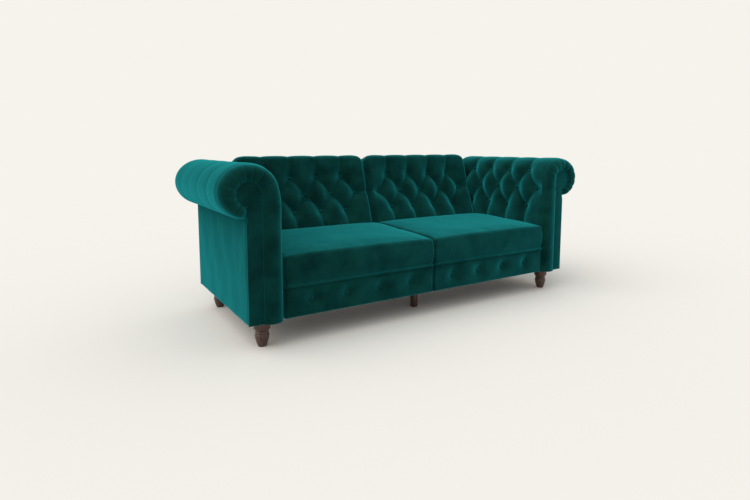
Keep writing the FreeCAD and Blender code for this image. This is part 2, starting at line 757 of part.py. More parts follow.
def seat_webbing():
    """Straps from the front board to the rear rail."""
    straps = []
    count = 5
    for index in range(count):
        x = f"sizes.half_gap + sizes.seat_half_width * {(index + 0.5) / count}"
        straps.append(box(f"seat_strap_{index}",
                          (f"{x} - sizes.strap_width / 2", f"{x} + sizes.strap_width / 2"),
                          ("places.frame_y + 4", "places.frame_rear_y - 4"),
                          ("places.frame_top_z", "sizes.rail_top")))
    return group("seat_webbing", straps)


def cushion_section(x, draw, crown):
    """Return one section of the seat cushion, drawn in and lowered near its ends."""
    soft = size("cushion_round")
    low = size("rail_top")
    front = at.panel_y + size("cushion_face") + draw
    rear = at.seat_rear_y - draw
    top = size("seat_top") - 9 + crown
    lean_back = (top - low) * math.tan(math.radians(size("back_lean"))) * 0.55
    corners = (V(x, front + 10, low), V(x, front + 4, top - soft), V(x, front + soft, top - 5),
               V(x, rear + lean_back - soft, top - 2), V(x, rear + lean_back, top - soft),
               V(x, rear - 4, low))
    bend = soft * 0.3
    return [
        arc(corners[0], V(x, front, (low + top - soft) / 2), corners[1]),
        arc(corners[1], V(x, front + bend, top - bend - 2), corners[2]),
        arc(corners[2], V(x, (front + rear) / 2, top), corners[3]),
        arc(corners[3], V(x, rear + lean_back - bend, top - bend), corners[4]),
        line(corners[4], corners[5]),
        line(corners[5], corners[0]),
    ]


def seat_cushion():
    """Boxed cushion with a low crown and drawn-in ends."""
    width = size("seat_half_width")
    stations = (
        (0, 5, -14), (0.03, 0, -3), (0.25, 0, 3), (0.5, 0, 5), (0.75, 0, 3), (0.97, 0, -3), (1, 5, -14),
    )
    sections = [cushion_section(size("half_gap") + width * share, draw, crown)
                for share, draw, crown in stations]
    return formed("seat_cushion", ruled(sections))


def rail_button_places():
    """Return the formulas for the button places along the front rail."""
    return [f"places.seat_mid_x + sizes.rail_button_step * {index - 1.5}" for index in range(4)]


def seat_front_pad():
    """Buttoned front rail cover with a dimple at each button."""
    pad = box("rail_pad", ("sizes.half_gap", "places.seat_out_x"), ("places.rail_y", "places.frame_y"),
              ("sizes.foot_height", "sizes.rail_top"))
    dimples = []
    for index, x in enumerate(rail_button_places()):
        dimple = doc.addObject("Part::Cone", f"rail_dimple_{index}")
        dimple.Placement = FreeCAD.Placement(V(), FreeCAD.Rotation(V(1, 0, 0), -90))
        dimple.setExpression("Radius1", "sizes.button_radius * 2.6")
        dimple.setExpression("Radius2", "sizes.button_radius")
        dimple.setExpression("Height", "sizes.rail_pad_thick * 0.6")
        dimple.setExpression("Placement.Base.x", x)
        dimple.setExpression("Placement.Base.y", "places.rail_y")
        dimple.setExpression("Placement.Base.z", "(sizes.foot_height + sizes.rail_top) / 2")
        dimples.append(dimple)
    return cut("seat_front_pad", pad, dimples)


def seat_front_buttons():
    """Covered buttons in the rail dimples."""
    z = "(sizes.foot_height + sizes.rail_top) / 2"
    floor = "places.rail_y + sizes.rail_pad_thick * 0.6"
    discs = [rod(f"rail_button_{index}", "y", (f"{floor} - 6", floor), (x, z), "sizes.button_radius * 0.9")
             for index, x in enumerate(rail_button_places())]
    return group("rail_buttons", discs)


def seat_welt():
    """Piping along the top of the front rail."""
    return rod("seat_welt", "x", ("sizes.half_gap", "places.seat_out_x"),
               ("places.rail_y - sizes.welt_radius", "sizes.rail_top - sizes.welt_radius"),
               "sizes.welt_radius")


def seat_dust_cover(holes):
    """Cloth under the seat frame."""
    cloth = box("dust_cloth", ("sizes.half_gap / 8", "places.seat_out_x"),
                ("places.frame_y", "places.frame_rear_y"), ("sizes.foot_height", "places.frame_low_z"))
    return cut("seat_dust_cover", cloth, holes)


def back_section(x, depth, paired, draw):
    """Return one section of the back pad, drawn upright with its face towards -Y."""
    flat = size("button_radius") + TUFT_FLAT
    low_row = size("back_row_low")
    mid_row = low_row + size("back_row_step")
    top_row = mid_row + size("back_row_step")
    low = V(x, 8 + draw, -size("back_drop"))
    brow = V(x, 20 + draw, size("back_top") - 10)
    rear_top = V(x, size("back_pad_thick"), size("back_top"))
    rear_low = V(x, size("back_pad_thick"), -size("back_drop"))
    if paired:
        points = (V(x, depth, low_row - flat), V(x, depth, low_row + flat),
                  V(x, depth, top_row - flat), V(x, depth, top_row + flat))
        belly = arc(points[1], V(x, 4, mid_row), points[2])
        swell = 6
    else:
        shallow = depth * 0.8
        points = (V(x, shallow, mid_row - flat - 6), V(x, depth, mid_row - flat),
                  V(x, depth, mid_row + flat), V(x, shallow, mid_row + flat + 6))
        belly = line(points[1], points[2])
        swell = 0
    return [
        arc(low, V(x, swell + draw, (low.z + points[0].z) / 2), points[0]),
        line(points[0], points[1]),
        belly,
        line(points[2], points[3]),
        arc(points[3], V(x, swell + draw, (points[3].z + brow.z) / 2), brow),
        arc(brow, V(x, size("back_pad_thick") / 2, size("back_top") + 5), rear_top),
        line(rear_top, rear_low),
        line(rear_low, low),
    ]


def back_columns():
    """Return the X places of the tuft columns of one back half, half a pitch apart."""
    step = size("seat_half_width") / TUFT_COLUMNS / 2
    return [size("half_gap") + step * index for index in range(1, 2 * TUFT_COLUMNS)]


def hinge_notches():
    """Cut-outs at the lower corners of a back half that clear the hinges."""
    outer = box("hinge_notch", ("places.back_arm_x", "places.seat_out_x + 1"),
                ("-20", "sizes.back_thick + 1"), ("-sizes.back_drop - 1", "places.notch_s"))
    return [outer, mirror("hinge_notch_inner", outer, "places.seat_mid_x")]


def back_tufts():
    """Return the floor point and outward direction of every back tuft, drawn upright."""
    low_row = size("back_row_low")
    step = size("back_row_step")
    tufts = []
    for index, x in enumerate(back_columns()):
        rows = (low_row, low_row + 2 * step) if index % 2 == 1 else (low_row + step,)
        tufts += [(V(x, size("tuft_depth"), row), V(0, -1, 0)) for row in rows]
    return tufts


def back_pad(notches):
    """Tufted front pad of one back half."""
    depth = size("tuft_depth")
    sections = [back_section(size("half_gap"), 14, False, 6)]
    for index, x in enumerate(back_columns()):
        sections.append(back_section(x, depth, index % 2 == 1, 0))
    sections.append(back_section(at.seat_out_x, 14, False, 6))
    tools = notches + [wells("back_wells", back_tufts())]
    return lean(cut("back_pad", formed("back_pad_form", ruled(sections)), tools))


def back_rear_panel(notches):
    """Upholstered cover boards behind the pad: rear, top, bottom and two sides."""
    wall = "sizes.panel_thick"
    deep = ("sizes.back_pad_thick", f"sizes.back_thick - {wall}")
    x = ("sizes.half_gap", "places.seat_out_x")
    up = f"sizes.back_top - {wall}"
    rear = box("back_rear_sheet", x, (deep[1], "sizes.back_thick"), ("-sizes.back_drop", "sizes.back_top"))
    side = box("back_side_board", (f"places.seat_out_x - {wall}", "places.seat_out_x"), deep,
               ("places.notch_s", up))
    boards = [
        cut("back_rear_board", rear, notches),
        box("back_top_board", x, deep, (up, "sizes.back_top")),
        box("back_bottom_board", ("2 * places.seat_mid_x - places.back_arm_x", "places.back_arm_x"), deep,
            ("-sizes.back_drop", f"-sizes.back_drop + {wall}")),
        side,
        mirror("back_side_inner", side, "places.seat_mid_x"),
    ]
    return lean(group("back_rear_panel", boards))


def back_frame(holes):
    """Timber frame of one back half: two stiles and three rails."""
    deep = ("sizes.back_pad_thick", "sizes.back_thick - sizes.panel_thick")
    high = "sizes.back_top - sizes.panel_thick"
    stile_in = "places.back_arm_x - sizes.rail_thick"
    stile = box("back_stile", (stile_in, "places.back_arm_x"), deep, ("places.stile_low_s", high))
    boards = [stile, mirror("back_stile_inner", stile, "places.seat_mid_x")]
    span = ("2 * places.seat_mid_x - places.back_arm_x", "places.back_arm_x")
    rails = {
        "low": ("places.stile_low_s", "places.stile_low_s + sizes.rail_thick"),
        "mid": ("sizes.back_top / 2 - sizes.rail_thick / 2", "sizes.back_top / 2 + sizes.rail_thick / 2"),
        "top": (f"{high} - sizes.rail_thick", high),
    }
    for name, z in rails.items():
        boards.append(box(f"back_rail_{name}", span,
                          (f"sizes.back_pad_thick + {CLOTH}", "sizes.back_thick - sizes.panel_thick"), z))
    return lean(cut("back_frame", fuse("back_boards", boards), holes))


def back_webbing():
    """Straps up the front of the back frame's rails."""
    straps = []
    count = 5
    for index in range(count):
        x = f"sizes.half_gap + sizes.seat_half_width * {(index + 0.5) / count}"
        if index in (0, count - 1):
            x = f"{x} + {8 if index == 0 else -8}"
        straps.append(box(f"back_strap_{index}",
                          (f"{x} - sizes.strap_width / 2", f"{x} + sizes.strap_width / 2"),
                          ("sizes.back_pad_thick", f"sizes.back_pad_thick + {CLOTH}"),
                          ("places.stile_low_s + 2", "sizes.back_top - sizes.panel_thick - 2")))
    return lean(group("back_webbing", straps))


def build_arms():
    """Make both arms with their feet and bolts."""
    hangers, hanger_holes = hanger_bolts()
    bolts, bolt_holes = arm_bolts()
    pair(arm_frame(hanger_holes, bolt_holes), "arm_frame")
    pair(arm_core(), "arm_roll_core")
    pair(arm_pad(), "arm_pad")
    both_sides(buttons("arm_buttons_right", arm_tufts()), "arm_buttons")
    pair(arm_outer_panel(), "arm_outer_panel")
    pair(arm_front_panel(), "arm_front_panel")
    pair(arm_band(), "arm_front_band")
    pair(arm_rear_panel(), "arm_rear_panel")
    feet()
    both_sides(group("hangers_right", hangers), "foot_hanger_bolts")
    both_sides(group("arm_bolts_right", bolts), "arm_bolts")
    return bolt_holes


def build_seats(arm_holes):
    """Make both seat halves, the fixed hinge plates and the centre legs."""
    plate_bolts, plate_holes = hinge_seat_bolts()
    joints, joint_holes = joining_bolts()
    screws, leg_plate_holes, rail_holes = leg_screws()
    inner_holes = [mirror(f"inner_{hole.Name}", hole, "places.seat_mid_x") for hole in plate_holes]
    pair(seat_side_rails(arm_holes + plate_holes, inner_holes + joint_holes + rail_holes), "seat_side_rails")
    pair(seat_cross_rails(), "seat_cross_rails")
    pair(seat_webbing(), "seat_webbing")
    pair(seat_cushion(), "seat_cushion")
    pair(seat_front_pad(), "seat_front_pad")
    both_sides(seat_front_buttons(), "seat_front_buttons")
    pair(seat_welt(), "seat_welt")
    pair(seat_dust_cover(rail_holes), "seat_dust_cover")
    pair(both_ends("hinge_seat_arms", hinge_seat_arm(plate_holes)), "hinge_seat_arms")
    pair(both_ends("hinge_pins", hinge_pin()), "hinge_pins")
    both_sides(both_ends("seat_bolts", group("seat_bolts_outer", plate_bolts)), "hinge_seat_bolts")
    node(group("joining_bolts", joints), "seat_joining_bolts")
    center_legs(leg_plate_holes)
    node(group("leg_screws", screws), "center_leg_screws")


def build_backs():
    """Make both back halves with their moving hinge plates."""
    notches = hinge_notches()
    bolts, holes = hinge_back_bolts()
    inner_holes = [mirror(f"inner_{hole.Name}", hole, "places.seat_mid_x") for hole in holes]
    pair(back_pad(notches), "back_pad")
    pair(lean(buttons("back_buttons", back_tufts())), "back_buttons")
    pair(back_rear_panel(notches), "back_rear_panel")
    pair(back_frame(holes + inner_holes), "back_frame")
    pair(back_webbing(), "back_webbing")
    pair(lean(both_ends("hinge_back_arms", hinge_back_arm(holes))), "hinge_back_arms")
    pair(lean(both_ends("hinge_back_bolts", group("back_bolts_outer", bolts))), "hinge_back_bolts")


def write_nodes():
    """Check every object, then write each node to its own file."""
    doc.recompute()
    for item in doc.Objects:
        if "Invalid" in item.State or "Error" in item.State:
            raise RuntimeError(f"{item.Name} did not recompute: {item.State}")
    os.makedirs("parts", exist_ok=True)
    for item in nodes:
        shape = item.Shape
        if shape.isNull() or not shape.isValid() or not shape.Solids:
            raise RuntimeError(f"{item.Label} is not a sound solid")
        shape.exportStep(f"parts/{item.Label}.step")


build_seats(build_arms())
build_backs()
write_nodes()
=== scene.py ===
import logging
import math
from collections.abc import Iterator
from contextlib import contextmanager
from dataclasses import dataclass
from enum import Enum

import bpy
import numpy as np
from mathutils import Matrix, Vector


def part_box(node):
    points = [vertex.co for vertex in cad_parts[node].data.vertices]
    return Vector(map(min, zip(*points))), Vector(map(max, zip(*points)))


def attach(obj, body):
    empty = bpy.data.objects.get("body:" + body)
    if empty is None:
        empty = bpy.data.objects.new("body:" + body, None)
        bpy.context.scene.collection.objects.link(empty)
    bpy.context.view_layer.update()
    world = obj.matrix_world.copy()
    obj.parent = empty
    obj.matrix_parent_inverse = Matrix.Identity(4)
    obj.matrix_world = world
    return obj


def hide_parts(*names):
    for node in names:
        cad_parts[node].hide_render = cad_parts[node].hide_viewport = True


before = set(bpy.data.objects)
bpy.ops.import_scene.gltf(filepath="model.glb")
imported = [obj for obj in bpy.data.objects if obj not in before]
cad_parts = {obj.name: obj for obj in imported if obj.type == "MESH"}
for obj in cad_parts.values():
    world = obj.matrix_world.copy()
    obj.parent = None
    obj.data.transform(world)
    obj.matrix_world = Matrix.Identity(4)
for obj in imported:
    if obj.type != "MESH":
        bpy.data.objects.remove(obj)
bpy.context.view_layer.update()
LOG = logging.getLogger("sofa")
MERGE = 1e-5
LEAST_RISE = 1e-6
NEAR_ZERO = 1e-12
ARC_STEPS = 8
WALL_STEPS = 5
STRAP_GRID = (9, 33)
BOX_FACES = [[0, 1, 3, 2], [4, 6, 7, 5], [0, 4, 5, 1], [2, 3, 7, 6], [0, 2, 6, 4], [1, 5, 7, 3]]
Triple = tuple[float, float, float]
Pair = tuple[float, float]
Colour = Triple
Array = np.ndarray
Piece = bpy.types.Object
Socket = bpy.types.NodeSocket
Material = bpy.types.Material


class Side(Enum):
    """Half of the sofa, as the sign of its X places seen from the front."""

    LEFT = -1
    RIGHT = 1

    @property
    def tag(self) -> str:
        """Return the word used in node names."""
        return self.name.lower()


class Body(Enum):
    """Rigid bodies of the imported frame."""

    BASE = "sofa_base"
    LEFT_BACK = "left_back"
    RIGHT_BACK = "right_back"


class Slot(Enum):
    """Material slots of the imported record."""

    VELVET = "velvet"
    FOOT_WOOD = "foot_wood"
    WEBBING = "webbing"
    DUST_CLOTH = "dust_cloth"


class Graph:
    """The node tree of a material or a world, with short calls that add and join nodes."""

    def __init__(self, owner: Material | bpy.types.World) -> None:
        """Start with an empty tree.

        Args:
            owner: Material or world that the nodes belong to.
        """
        self.owner = owner
        owner.use_nodes = True
        self.tree = owner.node_tree
        self.tree.nodes.clear()

    def feed(self, socket: Socket, value: object) -> None:
        """Link a source to an input, or set the input's own value.

        Args:
            socket: Input to feed.
            value: Source socket or plain value.
        """
        if isinstance(value, Socket):
            self.tree.links.new(value, socket)
        else:
            socket.default_value = value

    def add(self, kind: str, **inputs: object) -> bpy.types.Node:
        """Add a node and feed its sockets.

        Args:
            kind: Node type without the ShaderNode prefix.
            inputs: Socket names, with underscores for spaces, and their values or source sockets.

        Returns:
            The new node.
        """
        node = self.tree.nodes.new(f"ShaderNode{kind}")
        for name, value in inputs.items():
            self.feed(node.inputs[name.replace("_", " ")], value)
        return node

    def combine(self, operation: str, *values: object) -> Socket:
        """Return the result of a sum on values.

        Args:
            operation: Name of the maths operation.
            values: Numbers or source sockets, in order.

        Returns:
            The value socket.
        """
        node = self.add("Math")
        node.operation = operation
        for socket, value in zip(node.inputs, values):
            self.feed(socket, value)
        return node.outputs[0]

    def place(self, scale: Triple = (1.0, 1.0, 1.0)) -> Socket:
        """Return object coordinates stretched by a scale along each axis."""
        coordinates = self.add("TexCoord")
        return self.add("Mapping", Vector=coordinates.outputs["Object"], Scale=scale).outputs["Vector"]

    def noise(self, vector: Socket, scale: float, detail: float) -> Socket:
        """Return the value of a noise texture at a vector, with its scale and number of octaves."""
        return self.add("TexNoise", Vector=vector, Scale=scale, Detail=detail).outputs[0]

    def ramp(self, value: Socket, places: Pair,
             colours: tuple[Colour, Colour]) -> Socket:
        """Return a colour picked by a value.

        Args:
            value: Position along the ramp.
            places: Positions of the two colours.
            colours: Linear colours.

        Returns:
            The colour socket.
        """
        node = self.add("ValToRGB", Fac=value)
        for step, position, colour in zip(node.color_ramp.elements, places, colours):
            step.position = position
            step.color = (*colour, 1.0)
        return node.outputs["Color"]

    def spread(self, value: Socket, low: float, high: float) -> Socket:
        """Return a value moved from 0..1 to the range from low to high."""
        return self.add("MapRange", Value=value, To_Min=low, To_Max=high).outputs[0]

    def bump(self, height: Socket, distance: float, strength: float) -> Socket:
        """Return a normal raised by a height, with the distance in metres and the share of the effect."""
        return self.add("Bump", Height=height, Distance=distance, Strength=strength).outputs["Normal"]

    def finish(self, **inputs: object) -> Material:
        """Close the tree with one principled shader.

        Args:
            inputs: Shader sockets and their values or sources.

        Returns:
            The material.
        """
        shader = self.add("BsdfPrincipled", **inputs)
        self.add("OutputMaterial", Surface=shader.outputs[0])
        return self.owner


@dataclass(frozen=True)
class Velvet:
    """Short-pile velvet: deep colour face on, bright where the pile is seen along its side."""

    name: str
    pile: Colour = (0.0022, 0.0152, 0.0108)
    brushed: Colour = (0.0050, 0.0440, 0.0345)
    rim: Colour = (0.033, 0.625, 0.655)
    sheen: float = 1.0
    sheen_roughness: float = 0.50
    roughness: Pair = (0.82, 0.96)
    streak: Triple = (1.0, 1.0, 1.0)
    patch_scale: float = 11.0
    patch_range: Pair = (-0.15, 0.8)
    patch_height: float = 14.0
    pile_scale: float = 420.0
    pile_share: float = 0.35
    pile_height: float = 0.0006
    relief: float = 0.35
    tones: Pair = (0.34, 0.66)

    def material(self) -> Material:
        """Make the velvet, with a nap that varies in patches.

        Returns:
            The material.
        """
        graph = Graph(bpy.data.materials.new(self.name))
        patches = graph.noise(graph.place(self.streak), self.patch_scale, detail=4.0)
        pile = graph.noise(graph.place(), self.pile_scale, detail=2.0)
        nap = graph.combine("MULTIPLY_ADD", pile, self.pile_share, graph.spread(patches, *self.patch_range))
        height = graph.combine("MULTIPLY_ADD", patches, self.patch_height, pile)
        return graph.finish(
            Base_Color=graph.ramp(nap, self.tones, (self.pile, self.brushed)),
            Roughness=graph.spread(pile, *self.roughness), Specular_IOR_Level=0.0,
            Normal=graph.bump(height, self.pile_height, self.relief),
            Sheen_Weight=self.sheen, Sheen_Roughness=self.sheen_roughness, Sheen_Tint=(*self.rim, 1.0),
        )


@dataclass(frozen=True)
class StainedWood:
    """Dark stained and lacquered hardwood."""

    name: str
    dark: Colour = (0.040, 0.017, 0.012)
    light: Colour = (0.120, 0.058, 0.042)
    tones: Pair = (0.32, 0.68)
    grain: Triple = (60.0, 60.0, 5.0)
    grain_scale: float = 2.2
    pores: Triple = (420.0, 420.0, 24.0)
    pore_scale: float = 1.5
    roughness: Pair = (0.30, 0.46)
    specular: float = 0.3
    lacquer: float = 0.35
    lacquer_roughness: float = 0.12
    pore_depth: float = 0.0003
    relief: float = 0.25

    def material(self) -> Material:
        """Make the wood, with grain that runs upright.

        Returns:
            The material.
        """
        graph = Graph(bpy.data.materials.new(self.name))
        grain = graph.noise(graph.place(self.grain), self.grain_scale, detail=6.0)
        pores = graph.noise(graph.place(self.pores), self.pore_scale, detail=2.0)
        return graph.finish(
            Base_Color=graph.ramp(grain, self.tones, (self.dark, self.light)),
            Roughness=graph.spread(grain, *self.roughness), Specular_IOR_Level=self.specular,
            Coat_Weight=self.lacquer, Coat_Roughness=self.lacquer_roughness,
            Normal=graph.bump(pores, self.pore_depth, self.relief),
        )


@dataclass(frozen=True)
class SawnTimber:
    """Plain sawn frame timber."""

    name: str
    dark: Colour = (0.30, 0.19, 0.10)
    light: Colour = (0.52, 0.37, 0.22)
    tones: Pair = (0.3, 0.7)
    grain: Triple = (3.0, 40.0, 40.0)
    grain_scale: float = 2.5
    roughness: Pair = (0.62, 0.82)
    grain_depth: float = 0.0006
    relief: float = 0.3

    def material(self) -> Material:
        """Make the timber, with grain along one axis.

        Returns:
            The material.
        """
        graph = Graph(bpy.data.materials.new(self.name))
        grain = graph.noise(graph.place(self.grain), self.grain_scale, detail=6.0)
        return graph.finish(Base_Color=graph.ramp(grain, self.tones, (self.dark, self.light)),
                            Roughness=graph.spread(grain, *self.roughness),
                            Normal=graph.bump(grain, self.grain_depth, self.relief))


@dataclass(frozen=True)
class Steel:
    """Painted or plated steel."""

    name: str
    dark: Colour
    light: Colour
    metallic: float
    roughness: Pair
    tones: Pair = (0.3, 0.7)
    mottle_scale: float = 90.0
    mottle_depth: float = 0.0002
    relief: float = 0.2

    def material(self) -> Material:
        """Make the steel, with a fine mottled surface.

        Returns:
            The material.
        """
        graph = Graph(bpy.data.materials.new(self.name))
        mottle = graph.noise(graph.place(), self.mottle_scale, detail=4.0)
        return graph.finish(Base_Color=graph.ramp(mottle, self.tones, (self.dark, self.light)),
                            Metallic=self.metallic, Roughness=graph.spread(mottle, *self.roughness),
                            Normal=graph.bump(mottle, self.mottle_depth, self.relief))


@dataclass(frozen=True)
class WovenCloth:
    """Plain woven lining or strap."""

    name: str
    dark: Colour
    light: Colour
    threads: float
    roughness: float = 0.9
    thread_depth: float = 0.0004
    thread_wander: float = 0.6
    relief: float = 0.5

    def material(self) -> Material:
        """Make the cloth, with crossing threads.

        Returns:
            The material.
        """
        graph = Graph(bpy.data.materials.new(self.name))
        heights = []
        for direction in ("X", "Y"):
            wave = graph.add("TexWave", Vector=graph.place(), Scale=self.threads,
                             Distortion=self.thread_wander)
            wave.bands_direction = direction
            heights.append(wave.outputs["Fac"])
        weave = graph.combine("MULTIPLY", *heights)
        return graph.finish(Base_Color=graph.ramp(weave, (0.0, 1.0), (self.dark, self.light)),
                            Roughness=self.roughness,
                            Normal=graph.bump(weave, self.thread_depth, self.relief))


def select_only(piece: Piece) -> None:
    """Make one object the only selected and active one.

    Args:
        piece: Object to select.
    """
    bpy.ops.object.select_all(action="DESELECT")
    piece.select_set(True)
    bpy.context.view_layer.objects.active = piece


@contextmanager
def edit_mode(piece: Piece) -> Iterator[None]:
    """Open a piece in edit mode with its whole mesh selected, and leave edit mode at the end.

    Args:
        piece: Object to edit.

    Yields:
        Nothing.
    """
    select_only(piece)
    bpy.ops.object.mode_set(mode="EDIT")
    bpy.ops.mesh.select_all(action="SELECT")
    yield
    bpy.ops.object.mode_set(mode="OBJECT")


def linked(name: str, mesh: bpy.types.Mesh) -> Piece:
    """Make an object of a mesh and link it to the scene.

    Args:
        name: Name of the piece.
        mesh: Mesh of the piece.

    Returns:
        The new object.
    """
    piece = bpy.data.objects.new(name, mesh)
    bpy.context.scene.collection.objects.link(piece)
    return piece


def new_piece(name: str, points: Array, faces: list[list[int]]) -> Piece:
    """Make an object from points and faces.

    Args:
        name: Name of the piece.
        points: X, Y and Z of each point, in metres.
        faces: Point numbers of each face.

    Returns:
        The new object, linked to the scene.
    """
    mesh = bpy.data.meshes.new(name)
    mesh.from_pydata(points.reshape(-1, 3).tolist(), [], faces)
    mesh.update()
    return linked(name, mesh)


def faces_of(shape: tuple[int, int], flip: bool = False) -> Array:
    """Return the quads of a lattice of points.

    Args:
        shape: Number of rows and columns.
        flip: Turn the quads over.

    Returns:
        An array of point numbers, four to a face.
    """
    rows, columns = shape
    corner = (np.arange(rows - 1)[:, None] * columns + np.arange(columns - 1)[None, :]).ravel()
    quads = np.stack([corner, corner + columns, corner + columns + 1, corner + 1], axis=1)
    return quads[:, ::-1] if flip else quads


def lattice_piece(name: str, lattice: Array, flip: bool = False) -> Piece:
    """Make an object from a lattice of points, with its quads turned over if they have to be."""
    return new_piece(name, lattice, faces_of(lattice.shape[:2], flip).tolist())


def settled(name: str) -> Piece:
    """Name the primitive that was added last and move its place, turn and size into its mesh.

    Args:
        name: Name of the piece.

    Returns:
        The piece, untransformed at the origin.
    """
    piece = bpy.context.object
    piece.name = name
    select_only(piece)
    bpy.ops.object.transform_apply(location=True, rotation=True, scale=True)
    return piece


def shade(piece: Piece, crease: float | None = None) -> None:
    """Shade a piece smoothly.

    Args:
        piece: Object to shade.
        crease: Angle in degrees above which edges stay sharp, if any do.
    """
    select_only(piece)
    if crease is None:
        bpy.ops.object.shade_smooth()
    else:
        bpy.ops.object.shade_smooth_by_angle(angle=math.radians(crease))


def ease_edges(piece: Piece, offset: float, segments: int) -> None:
    """Round every edge of a piece and shade it.

    Args:
        piece: Object to ease.
        offset: Size of the round, in metres.
        segments: Faces across the round.
    """
    with edit_mode(piece):
        bpy.ops.mesh.bevel(offset=offset, segments=segments, affect="EDGES")
    shade(piece, crease=40)


def close_and_smooth(piece: Piece, cap: bool = True, holes: bool = False,
                     crease: float | None = None) -> None:
    """Merge doubles, close open rims, point the faces outwards and shade smoothly.

    Args:
        piece: Object to finish.
        cap: Fill the open rim with one flat face.
        holes: Fill each hole that is left.
        crease: Angle in degrees above which edges stay sharp, if any do.
    """
    with edit_mode(piece):
        bpy.ops.mesh.remove_doubles(threshold=MERGE)
        bpy.ops.mesh.dissolve_degenerate(threshold=MERGE)
        if cap:
            bpy.ops.mesh.select_mode(type="VERT")
            bpy.ops.mesh.select_all(action="DESELECT")
            bpy.ops.mesh.select_non_manifold(use_wire=False, use_multi_face=False, use_non_contiguous=False,
                                             use_verts=False)
            bpy.ops.mesh.edge_face_add()
        bpy.ops.mesh.select_all(action="SELECT")
        if holes:
            bpy.ops.mesh.fill_holes(sides=0)
        bpy.ops.mesh.normals_make_consistent(inside=False)
    shade(piece, crease)


def apply_modifier(piece: Piece, kind: str, **settings: object) -> None:
    """Add a modifier to a piece and apply it.

    Args:
        piece: Object to change.
        kind: Modifier type.
        settings: Properties of the modifier.
    """
    select_only(piece)
    modifier = piece.modifiers.new(kind.lower(), kind)
    for name, value in settings.items():
        setattr(modifier, name, value)
    bpy.ops.object.modifier_apply(modifier=modifier.name)


def reach_x(corners: tuple[Vector, Vector]) -> Pair:
    """Return a box's least and greatest distance from the sofa's middle plane."""
    inner, outer = sorted(abs(corner.x) for corner in corners)
    return inner, outer


def normals_of(lattice: Array) -> Array:
    """Return unit normals of a lattice of points, worked out from its neighbours.

    Args:
        lattice: Rows and columns of points.

    Returns:
        A unit vector at each point.
    """
    across = np.cross(np.gradient(lattice, axis=0), np.gradient(lattice, axis=1))
    length = np.linalg.norm(across, axis=2, keepdims=True)
    return across / np.maximum(length, NEAR_ZERO)


def ease(value: Array) -> Array:
    """Return a value held between 0 and 1 with soft ends."""
    held = np.clip(value, 0.0, 1.0)
    return held * held * (3.0 - 2.0 * held)


def arch(value: Array, low: float, high: float) -> Array:
    """Return a curve that is 0 at both ends of a range and 1 at its middle."""
    return (value - low) * (high - value) / (high - low) ** 2 * 4


def sections(rows: list[tuple[Array, float | Array]]) -> Array:
    """Return a lattice of outlines, each given by its X and Z points and their Y."""
    return np.stack([np.column_stack([flat[:, 0], np.broadcast_to(y, len(flat)), flat[:, 1]])
                     for flat, y in rows])


def run_along(path: Array) -> Array:
    """Return the length of a path from its start to each of its points."""
    return np.concatenate([[0.0], np.cumsum(np.linalg.norm(np.diff(path, axis=0), axis=1))])


@dataclass(frozen=True)
class Pleat:
    """A fold between two points of an unrolled cover, pulled in at each end by a share."""

    start: Pair
    end: Pair
    start_pull: float = 1.0
    end_pull: float = 1.0


@dataclass
class Tufting:
    """Depth of buttons and folds over an unrolled cover."""

    buttons: list[Pair]
    pleats: list[Pleat]
    depth: float = 0.036
    width: float = 0.021
    pit_depth: float = 0.008
    pit_radius: float = 0.013
    crease: float = 0.0028

    def sink(self, across: Array, along: Array) -> Array:
        """Return how far the cover is pulled in.

        Args:
            across: First unrolled coordinate of each point.
            along: Second unrolled coordinate of each point.

        Returns:
            The depth at each point, in metres.
        """
        pull = np.zeros_like(across)
        for pleat in self.pleats:
            run = np.subtract(pleat.end, pleat.start)
            gap_x = across - pleat.start[0]
            gap_y = along - pleat.start[1]
            share = np.clip((gap_x * run[0] + gap_y * run[1]) / (run @ run), 0.0, 1.0)
            square = (gap_x - share * run[0]) ** 2 + (gap_y - share * run[1]) ** 2
            strength = pleat.start_pull + (pleat.end_pull - pleat.start_pull) * share
            pull += strength * np.exp(-np.sqrt(square + self.crease ** 2) / self.width)
        depth = self.depth * np.tanh(pull)
        for place in self.buttons:
            square = (across - place[0]) ** 2 + (along - place[1]) ** 2
            depth += self.pit_depth * np.exp(-square / self.pit_radius ** 2)
        return depth


@dataclass
class Stops:
    """Stations along one axis of a padded slab: place, quarter turn at the rim and travel down the wall."""

    place: Array
    turn: Array
    wall: Array

    @classmethod
    def along(cls, low: float, high: float, radii: Pair, step: float) -> "Stops":
        """Lay out stations between two ends with rounded rims and walls.

        Args:
            low: Low end.
            high: High end.
            radii: Rim radius at the low and the high end.
            step: Spacing on the flat part.

        Returns:
            The stations.
        """
        count = max(2, int(round((high - low - sum(radii)) / step)))
        flat = np.linspace(low + radii[0], high - radii[1], count + 1)
        arc = np.linspace(0.0, 1.0, ARC_STEPS + 1)[1:]
        drop = np.linspace(0.0, 1.0, WALL_STEPS + 1)[1:]
        ones = np.ones_like(drop)
        beside = arc.size + drop.size
        place = np.concatenate([np.full(beside, flat[0]), flat, np.full(beside, flat[-1])])
        turn = np.concatenate([-ones, -arc[::-1], np.zeros_like(flat), arc, ones])
        wall = np.concatenate([drop[::-1], np.zeros(arc.size + flat.size + arc.size), drop])
        return cls(place, turn, wall)


